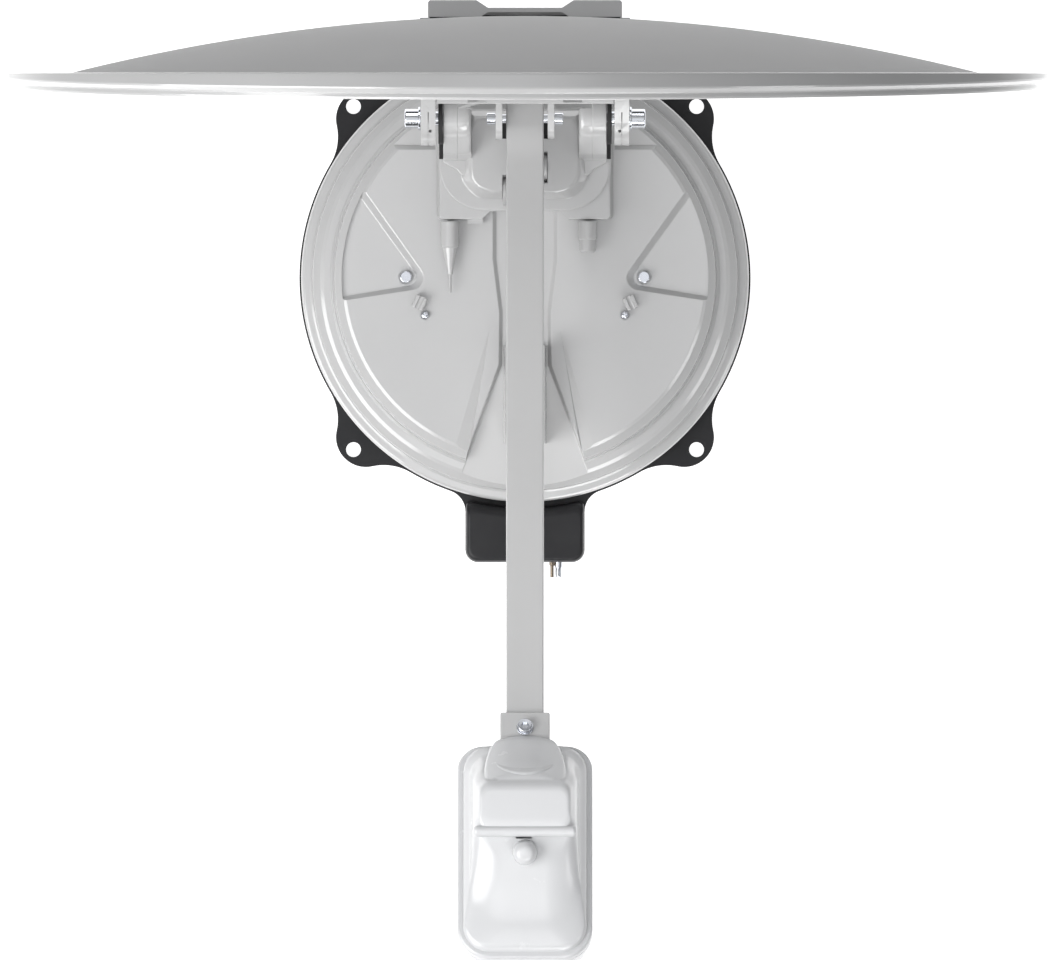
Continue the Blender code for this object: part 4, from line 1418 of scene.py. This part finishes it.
    def build_glands(self) -> None:
        """The two cable glands on the housing's front, the left one with its long cone and its stub."""
        cone = [(0, 0.0008, 0), (0.0072, 0.0008, 0.0003), (0.0074, 0.0020, 0.0003), (0.0074, 0.0212, 0.0010)]
        cone += [(0.0062, 0.0226, 0.0006), (0.0040, 0.0330, 0.006), (0.0020, 0.0446, 0.0006), (0, 0.0446, 0)]
        item = lathed("cable_gland_sleeve_left", cone, 3, 48, Way.FRONT, self.left_gland)
        self.seat(item, Slot.GREY, "cable_gland_left")
        stub = ((0, 0.0448, 0), (0.0012, 0.0448, 0), (0.0012, 0.0595, 0.0004), (0, 0.0595, 0))
        item = lathed("gland_stub_end", stub, 3, 24, Way.FRONT, self.left_gland)
        self.seat(item, Slot.RUBBER, "gland_stub")
        item.data.materials[0] = self.shop.materials[Slot.GREY]
        cap = ((0, 0.0008, 0), (0.0078, 0.0008, 0.0003), (0.0078, 0.0150, 0.0006), (0.0068, 0.0160, 0.0004))
        cap += ((0.0066, 0.0250, 0.0014), (0.0054, 0.0262, 0.0005), (0, 0.0262, 0))
        item = lathed("cable_gland_cap_right", cap, 5, 48, Way.FRONT, self.right_gland)
        cut(item, rod("bore", 0.0040, 0.0225, 0.030, 32, way=Way.FRONT, place=self.right_gland))
        self.seat(item, Slot.GREY, "cable_gland_right")


@dataclass
class Carrier(Assembly):
    """The levers, ears and web that turn on the tilt axis, and the holder behind the reflector.

    Attributes:
        inner: How far a lever's inner face stands from the middle plane.
        outer: How far its outer face does.
        boss: The radius of the boss round the tilt axis.
        bolt_tip: How far a pivot bolt's head reaches out.
    """

    body: ClassVar[Body] = Body.CARRIER
    inner: float = 0.0733
    outer: float = 0.0853
    boss: float = 0.022
    bolt_tip: float = 0.0987

    def build(self) -> None:
        """Model and seat every piece of the carrier."""
        for side, name in SIDES:
            self.build_lever(side, name)
            self.build_bolt(side, name)
            ear = rounded(traced("arm_ear_" + name), 0.0008, 3, 40)
            self.seat(ear, Slot.GREY, "arm_ear_" + name)
        self.build_web()
        self.build_pin()
        holder = rounded(traced("dish_holder"), 0.0022, 4, 40)
        fuse(holder, rounded(block("strip", (-0.0390, 0.2109, 0.4300), (0.0390, 0.2150, 0.4990)), 0.0006, 2))
        self.seat(holder, Slot.GREY, "dish_holder")
        # A dark block between the holder and the reflector's back: painted shade for the shadowed gap there.
        gap_shade_block = block("holder_gap_shade", (-0.0772, 0.2073, 0.4550), (0.0772, 0.2107, 0.4975))
        self.seat(rounded(gap_shade_block, 0.0005, 2), Slot.RUBBER)

    def build_lever(self, side: int, name: str) -> None:
        """A lever, with a parting groove round its boss and an oil hole on top of it.

        Args:
            side: The side, -1 or 1.
            name: The side's name.
        """
        item = traced("carrier_lever_" + name)
        middle, half = (self.inner + self.outer) / 2, 0.0004
        near, far = self.boss - 0.0008, self.boss + 0.004
        ring = ((near, middle - half), (far, middle - half), (far, middle + half), (near, middle + half))
        cut(item, turned("groove", ring, 96, outward(side), TILT_AXIS))
        cut(item, rod("oil_hole", 0.0013, 0.1330, 0.1500, 24, place=(side * 0.0776, 0.1197, 0.0)))
        rounded(item, 0.0008, 3, 50)
        self.seat(item, Slot.GREY, "carrier_lever_" + name)

    def build_bolt(self, side: int, name: str) -> None:
        """A pivot bolt with its washer and the hexagon socket in its head.

        Args:
            side: The side, -1 or 1.
            name: The side's name.
        """
        start, tip, end = self.outer + 0.0003, self.bolt_tip, 0.0575
        shank, washer, head = 0.006, 0.0098, 0.0080
        shape = (
            (0, end, 0),
            (shank, end, 0.0005),
            (shank, start, 0),
            (washer, start, 0.0003),
            (washer, start + 0.0018, 0.0005),
            (head, start + 0.0021, 0),
            (head, tip, 0.0014),
            (0, tip, 0),
        )
        item = lathed("pivot_bolt_shank_" + name, shape, 5, 64, outward(side), TILT_AXIS)
        cut(item, rod("hex", 0.0040, tip - 0.005, tip + CUT, 6, way=outward(side), place=TILT_AXIS))
        self.seat(item, Slot.CHROME, "pivot_bolt_" + name)

    def build_web(self) -> None:
        """The web between the levers, with two slots near its front edge."""
        item = traced("cross_web")
        low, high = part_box("cross_web")
        for side, _ in SIDES:
            near, far = span(side, 0.0312, 0.0469)
            cut(item, block("slot", (near, 0.1432, low.z - CUT), (far, 0.1450, high.z + CUT)))
        self.seat(rounded(item, 0.0003, 2, 40), Slot.GREY, "cross_web")

    def build_pin(self) -> None:
        """The arm's pin, with its two round heads."""
        head, shank, collar, end = 0.0050, 0.00365, 0.0243, 0.0315
        half = [(0.0, end, 0), (head, end, 0.0010), (head, collar, 0.0002), (shank, collar, 0)]
        shape = [(radius, -height, edge) for radius, height, edge in half] + half[::-1]
        item = lathed("arm_pin_rivet", shape, 4, 40, Way.RIGHT, TILT_AXIS)
        self.seat(item, Slot.CHROME, "arm_pin")


@dataclass
class Reflector(Assembly):
    """The pressed reflector with its deep rim, and the bolts through it.

    Attributes:
        width: Across the rim.
        height: From the rim's bottom to its crown.
        centre: The middle of the rim's rear edge.
        lean: How far the rim's plane leans.
        bowl: The bowl's radius and depth.
        shell: The pressing's thickness.
        rim: How far the flange's front edge stands forward at the sides and at the crown.
        softening: How gently the rim's edge turns at the sides, where it is furthest back.
        lip: How far the rolled lip stands in front of the flange's edge.
        inner: How far the rolled lip reaches in from the edge.
        bolt_across: How far the bolts stand from the middle plane.
        bolt_heights: The heights of the two rows of bolts.
    """

    body: ClassVar[Body] = Body.CARRIER
    width: float = 0.850
    height: float = 0.760
    centre: Point = (0.0, 0.1631, 0.580)
    lean: float = math.radians(0.53)
    bowl: Flat = (0.3685, 0.0463)
    shell: float = 0.003
    rim: Flat = (0.0032, 0.0114)
    softening: float = 0.2
    lip: float = 0.0099
    inner: float = 0.0270
    bolt_across: float = 0.056
    bolt_heights: Flat = (0.436, 0.484)

    def build(self) -> None:
        """Model and seat the reflector and its bolts."""
        item = turned("reflector_pressing", self.profile(), 288, Way.FRONT)
        self.lower_rim(item)
        frame_of_dish = Matrix.Translation(self.centre) @ Matrix.Rotation(self.lean, 4, "X")
        placed(item, frame_of_dish @ Matrix.Diagonal((1.0, 1.0, self.height / self.width, 1.0)))
        self.seat(item, Slot.GREY, "reflector", angle=40)
        item.data.materials.append(self.shop.back)
        axis = frame_of_dish.to_3x3() @ Vector((0.0, 1.0, 0.0))
        for face in item.data.polygons:
            along = (face.center - Vector(self.centre)).dot(axis)
            if along > 0.0004 and face.normal.dot(axis) > 0.1:
                face.material_index = 1
        self.build_bolts(frame_of_dish)

    def profile(self) -> list[Flat]:
        """Draw half a section: out over the back, round the rim and in over the front.

        Returns:
            Radius and distance to the front of each point.
        """
        radius, depth = self.bowl
        edge, start, steps = self.width / 2, self.rim[0], 22
        shares = [step / steps for step in range(steps + 1)]
        back = [(radius * share, -depth * (1 - share**2)) for share in shares]
        corners = (
            (*back[-2], 0),
            (*back[-1], 0.012),
            (edge - 0.0008, 0.0, 0.0006),
            (edge, start, 0.0003),
            (edge - 0.0006, start + 0.0015, 0.0003),
            (edge - 0.0048, start + 0.0040, 0.0010),
            (edge - 0.0072, start + 0.0051, 0.0006),
            (edge - 0.0075, start + 0.0080, 0.0006),
            (edge - 0.0083, start + self.lip - 0.0003, 0.0004),
            (edge - 0.0096, start + self.lip, 0.0006),
            (edge - 0.0146, start + self.lip - 0.0004, 0.0020),
            (edge - 0.0180, start + self.lip - 0.0025, 0.003),
            (edge - self.inner, self.shell, 0.006),
            (radius, self.shell, 0.012),
            (back[-2][0], back[-2][1] + self.shell, 0),
        )
        front = [(across, along + self.shell) for across, along in reversed(back[:-2])]
        return back[:-2] + filleted(corners, 6, closed=False) + front

    def lower_rim(self, item: Item) -> None:
        """Let the flange's rim stand further forward towards its crown and its bottom.

        Args:
            item: The pressing, still round and upright about the origin.
        """
        start = self.width / 2 - self.inner
        side, crown = self.rim
        soft = self.softening
        for vert in item.data.vertices:
            radius = math.hypot(vert.co.x, vert.co.z)
            if radius < start:
                continue
            share = (math.hypot(vert.co.z / radius, soft) - soft) / (math.hypot(1.0, soft) - soft)
            hold = min(1.0, max(0.0, -vert.co.y / side))
            hold = min(hold, (radius - start) / (self.inner - 0.018), 1.0)
            vert.co.y -= (crown - side) * share * hold

    def build_bolts(self, frame_of_dish: Matrix) -> None:
        """Four domed bolt heads inside the bowl, where the holder is fixed.

        Args:
            frame_of_dish: The matrix that takes the pressing to its place.
        """
        radius, depth = self.bowl
        shape = [(0, -0.001, 0), (0.0072, -0.001, 0), (0.0072, 0.001, 0.0006)]
        shape += [(0.0048, 0.0034, 0.0016), (0, 0.004, 0)]
        places = [(side * self.bolt_across, height) for side, _ in SIDES for height in self.bolt_heights]
        for number, (across, height) in enumerate(places, 1):
            up = height - self.centre[2]
            rise = up * self.width / self.height
            back = depth * (1 - (across**2 + rise**2) / radius**2) - self.shell
            bolt = lathed("dish_bolt_%d" % number, shape, 4, 36, Way.FRONT, (across, back, up))
            self.seat(placed(bolt, frame_of_dish), Slot.STEEL)


@dataclass
class FeedArm(Assembly):
    """The square tube with its clamp.

    Attributes:
        screw: Where the clamp's screw stands, in the arm's own frame.
    """

    body: ClassVar[Body] = Body.ARM
    screw: Point = (0.0, -0.533, 0.0093)

    def build(self) -> None:
        """Model and seat the tube, the clamp and its screw."""
        tube = rounded(traced("feed_arm_tube"), 0.0007, 3, 50)
        self.seat(tube, Slot.GREY, "feed_arm_tube", angle=32)
        clamp = traced("arm_clamp")
        slit = placed(block("slit", (-0.03, -0.5405, 0.0045), (0.03, -0.5180, 0.0052)), ARM_FRAME)
        cut(clamp, slit)
        self.seat(rounded(clamp, 0.0003, 2, 40), Slot.GREY, "arm_clamp")
        shape = (
            (0, 0, 0),
            (0.0069, 0, 0.0002),
            (0.0069, 0.0013, 0.0004),
            (0.0058, 0.0014, 0),
            (0.0058, 0.0060, 0.0009),
            (0, 0.0062, 0),
        )
        screw = lathed("clamp_screw_head", shape, 4, 56, Way.UP, self.screw)
        cut(screw, rod("hex", 0.0032, 0.0030, CUT, 6, place=self.screw))
        self.seat(placed(screw, ARM_FRAME), Slot.STEEL, "clamp_screw")


@dataclass
class FeedUnit(Assembly):
    """The feed unit's tray and cover, the window over its horn and the knob.

    Attributes:
        half: Half its width.
        rear: How far its rear stands from the tilt axis, along the arm.
        front: How far its front does.
        tray: Inset and height of each level of the tray.
        cover: Half width, rear, front, corner and height of each level of the cover.
        boss: Half width, rear and height of each level of the boss over the clamp.
    """

    body: ClassVar[Body] = Body.ARM
    half: float = 0.0552
    rear: float = 0.544
    front: float = 0.7278
    tray: tuple[Flat, ...] = (
        (0.0120, -0.0380),
        (0.0060, -0.0368),
        (0.0026, -0.0335),
        (0.0006, -0.0270),
        (0.0, -0.0200),
        (0.0, -0.0120),
        (0.0008, -0.0117),
        (0.0008, -0.0109),
        (0.0, -0.0106),
        (0.0, -0.0060),
        (0.0006, -0.0040),
        (0.0022, -0.0030),
    )
    cover: tuple[tuple[float, float, float, float, float], ...] = (
        (0.0505, 0.5450, 0.7225, 0.022, -0.0027),
        (0.0500, 0.5458, 0.7215, 0.022, 0.0002),
        (0.0488, 0.5490, 0.7170, 0.021, 0.0026),
        (0.0458, 0.5530, 0.7020, 0.020, 0.0056),
        (0.0440, 0.5570, 0.6850, 0.018, 0.0095),
        (0.0432, 0.5648, 0.6673, 0.016, 0.0182),
        (0.0427, 0.5720, 0.6510, 0.014, 0.0262),
        (0.0420, 0.5785, 0.6370, 0.012, 0.0335),
        (0.0404, 0.5835, 0.6330, 0.011, 0.0385),
        (0.0392, 0.5870, 0.6326, 0.010, 0.0412),
        (0.0386, 0.5890, 0.6324, 0.010, 0.0436),
        (0.0380, 0.5915, 0.6322, 0.010, 0.0470),
        (0.0374, 0.5945, 0.6315, 0.009, 0.0505),
        (0.0366, 0.5978, 0.6298, 0.009, 0.0532),
        (0.0352, 0.6005, 0.6272, 0.008, 0.0546),
        (0.0330, 0.6030, 0.6240, 0.007, 0.0550),
    )
    boss: tuple[Point, ...] = (
        (0.0300, 0.5440, -0.0024),
        (0.0300, 0.5440, 0.0096),
        (0.0244, 0.5412, 0.0098),
        (0.0248, 0.5408, 0.0110),
        (0.0262, 0.5422, 0.0132),
        (0.0288, 0.5464, 0.0166),
        (0.0312, 0.5536, 0.0216),
        (0.0328, 0.5616, 0.0274),
        (0.0334, 0.5696, 0.0340),
        (0.0332, 0.5770, 0.0400),
        (0.0324, 0.5840, 0.0450),
        (0.0310, 0.5895, 0.0480),
    )

    def build(self) -> None:
        """Model and seat every piece of the feed unit."""
        sections = []
        for inset, height in self.tray:
            front, rear = -self.front + inset, -self.rear - inset
            sections.append(at_height(rectangle(self.half - inset, front, rear, (0.027, 0.021), 14), height))
        item = placed(skinned("lnb_tray_shell", sections), ARM_FRAME)
        self.seat(item, Slot.WHITE, "lnb_tray", angle=50)
        self.build_cover()
        self.build_window()
        self.build_knob()

    def build_cover(self) -> None:
        """The cover, whose hump leans back, with the lip and the slot under its front."""
        sections = []
        low, high = 0.0412, self.cover[-1][-1]
        for half, rear, front, corner, height in self.cover:
            fall = 0.27 * max(0.0, height - low) / (high - low)
            cheek = corner + (0.011 if 0.004 < height < 0.030 else 0.0)
            outline = rectangle(half, -front, -rear, (cheek, corner), 12)
            sections.append([(x, y, height - fall * (-y - 0.5890)) for x, y in outline])
        item = skinned("lnb_cover_shell", sections)
        reach, radius, edge = 0.042, 0.0046, 0.0035
        lip = ((0, -reach, 0), (radius, -reach, edge), (radius, reach, edge), (0, reach, 0))
        fuse(item, lathed("lip", lip, 6, 40, Way.RIGHT, (0.0, -0.6334, 0.0396)))
        cut(item, block("slot", (-0.0073, -0.6376, 0.0200), (0.0054, -0.6290, 0.0360)))
        fuse(item, self.model_boss())
        self.seat(placed(item, ARM_FRAME), Slot.WHITE, "lnb_cover", angle=50)

    def model_boss(self) -> Item:
        """Model the boss that rises from over the clamp to the hump, with its bowed rear.

        Returns:
            The boss, in the arm's own frame.
        """
        bow, corner, buried = 0.075, 0.0056, -0.606
        sections = []
        for half, rear, height in self.boss:
            lean = math.degrees(math.asin(half / bow))
            arch = arc((0.0, -rear - bow), bow, 90 - lean, 90 + lean, 16)
            corners = [(half, buried, 0.0), (half, arch[0][1], corner), *at_height(arch[2:-2], 0.0)]
            corners += [(-half, arch[-1][1], corner), (-half, buried, 0.0)]
            sections.append(at_height(filleted(corners, 6), height))
        return skinned("boss", sections)

    def build_window(self) -> None:
        """The round window over the horn, leaned like the hump's rear."""
        pitch = math.atan2(0.0220, 0.0245)
        radius, face = 0.0262, 0.0040
        shape = ((0, 0, 0), (radius, 0, 0.0003), (radius, 0.0034, 0.0026), (0.0180, face, 0.01), (0, face, 0))
        item = lathed("horn_window_disc", shape, 5, 96)
        stand = Matrix.Translation((0.0, -0.5709, 0.0261)) @ Matrix.Rotation(pitch - math.pi / 2, 4, "X")
        self.seat(placed(item, ARM_FRAME @ stand), Slot.WHITE, "horn_window")

    def build_knob(self) -> None:
        """The round knob on the cover's slope."""
        slope = math.atan2(0.0245, 0.0500)
        shape = (
            (0, 0, 0),
            (0.0100, 0, 0),
            (0.0104, 0.0050, 0.0030),
            (0.0094, 0.0110, 0.0050),
            (0.0060, 0.0150, 0.0060),
            (0, 0.0158, 0),
        )
        item = lathed("cover_knob_grip", shape, 6, 56)
        stand = Matrix.Translation((0.0, -0.6475, 0.0288)) @ Matrix.Rotation(slope, 4, "X")
        self.seat(placed(item, ARM_FRAME @ stand), Slot.WHITE, "cover_knob")


@dataclass
class Studio:
    """The floor, the lights and the camera straight above.

    Attributes:
        aim: The point under the camera.
        lens: The focal length in millimetres.
        distance: The camera's height.
        lights: Each light's name, place, size and power.
    """

    aim: Flat = (0.0, -0.166)
    lens: float = 1500.0
    distance: float = 35.9675
    lights: tuple[tuple[str, Point, float, float], ...] = (
        ("key", (-1.15, -0.72, 1.35), 1.3, 24.5),
        ("fill_right", (1.6, -0.8, 1.7), 0.6, 3.5),
        ("fill_front", (0.5, -1.85, 1.6), 0.9, 13.5),
        ("fill_over", (-0.1, -0.48, 1.25), 0.4, 0.7),
        ("fill_rear", (-0.3, 1.9, 1.5), 0.9, 8.0),
    )

    def build(self) -> None:
        """Set up the whole studio."""
        self.build_floor()
        self.build_world()
        for light in self.lights:
            self.add_light(*light)
        self.build_camera()

    def build_floor(self) -> None:
        """A pale floor with an even glow under the object, so that shadows stay faint."""
        bpy.ops.object.select_all(action="DESELECT")
        bpy.ops.mesh.primitive_plane_add(size=60.0, location=(0.0, 0.0, 0.0))
        floor = bpy.context.object
        floor.name = "studio_floor"
        material = bpy.data.materials.new("studio_floor")
        material.use_nodes = True
        wires = Wiring(material.node_tree)
        place = wires.add("TexCoord").outputs["Object"]
        away = wires.add("VectorMath", {0: place, 1: (*self.aim, 0.0)}, operation="DISTANCE").outputs["Value"]
        ramp = {"Value": away, "From Min": 0.62, "From Max": 1.8, "To Min": 1.0, "To Max": 0.05}
        glow = wires.add("MapRange", ramp, interpolation_type="SMOOTHSTEP").outputs[0]
        paper = {"Base Color": (0.55, 0.55, 0.55, 1.0), "Roughness": 0.9, "Specular IOR Level": 0.1}
        paper |= {"Emission Color": (1.0, 1.0, 1.0, 1.0), "Emission Strength": glow}
        wires.add("OutputMaterial", {"Surface": wires.add("BsdfPrincipled", paper).outputs[0]})
        floor.data.materials.append(material)

    def build_world(self) -> None:
        """A pale surround that darkens towards the horizon, with a bright patch straight above."""
        world = bpy.data.worlds.new("studio_world")
        world.use_nodes = True
        wires = Wiring(world.node_tree)
        place = wires.add("TexCoord").outputs["Generated"]
        rise = wires.add("SeparateXYZ", {0: place}).outputs["Z"]
        ramp = {"Value": rise, "From Min": 0.05, "From Max": 0.85, "To Min": 0.08, "To Max": 0.30}
        sky = wires.add("MapRange", ramp, interpolation_type="SMOOTHSTEP").outputs[0]
        ramp = {"Value": rise, "From Min": 0.955, "From Max": 0.99, "To Min": 0.0, "To Max": 0.75}
        strength = wires.math("ADD", sky, wires.add("MapRange", ramp).outputs[0])
        light = wires.add("Background", {"Color": (0.97, 0.98, 1.0, 1.0), "Strength": strength})
        wires.add("OutputWorld", {"Surface": light.outputs[0]})
        bpy.context.scene.world = world
        bpy.context.scene.view_settings.view_transform = "Standard"

    def add_light(self, name: str, place: Point, size: float, power: float) -> None:
        """Hang a square soft light that points at the object.

        Args:
            name: The light's name.
            place: Where it hangs.
            size: The length of its sides.
            power: Its power in watts.
        """
        light = bpy.data.lights.new(name, "AREA")
        light.size = size
        light.energy = power
        lamp = bpy.data.objects.new(name, light)
        lamp.location = place
        towards = Vector((0.0, -0.1, 0.2)) - Vector(place)
        lamp.rotation_euler = towards.to_track_quat("-Z", "Y").to_euler()
        bpy.context.scene.collection.objects.link(lamp)

    def build_camera(self) -> None:
        """A long lens straight above, with the reflector at the top of the picture."""
        camera = bpy.data.cameras.new("camera")
        camera.lens = self.lens
        camera.sensor_width = 36.0
        camera.clip_start = 1.0
        camera.clip_end = 80.0
        eye = bpy.data.objects.new("camera", camera)
        eye.location = (*self.aim, self.distance)
        bpy.context.scene.collection.objects.link(eye)
        bpy.context.scene.camera = eye


def main() -> None:
    """Build every sub-assembly in order, then the studio."""
    logging.basicConfig(level=logging.INFO, format="%(name)s: %(message)s")
    shop = Shop()
    shop.stock()
    for assembly in (Base, Head, TiltHousing, Carrier, Reflector, FeedArm, FeedUnit):
        assembly(shop).build()
    Studio().build()


if __name__ == "__main__":
    main()
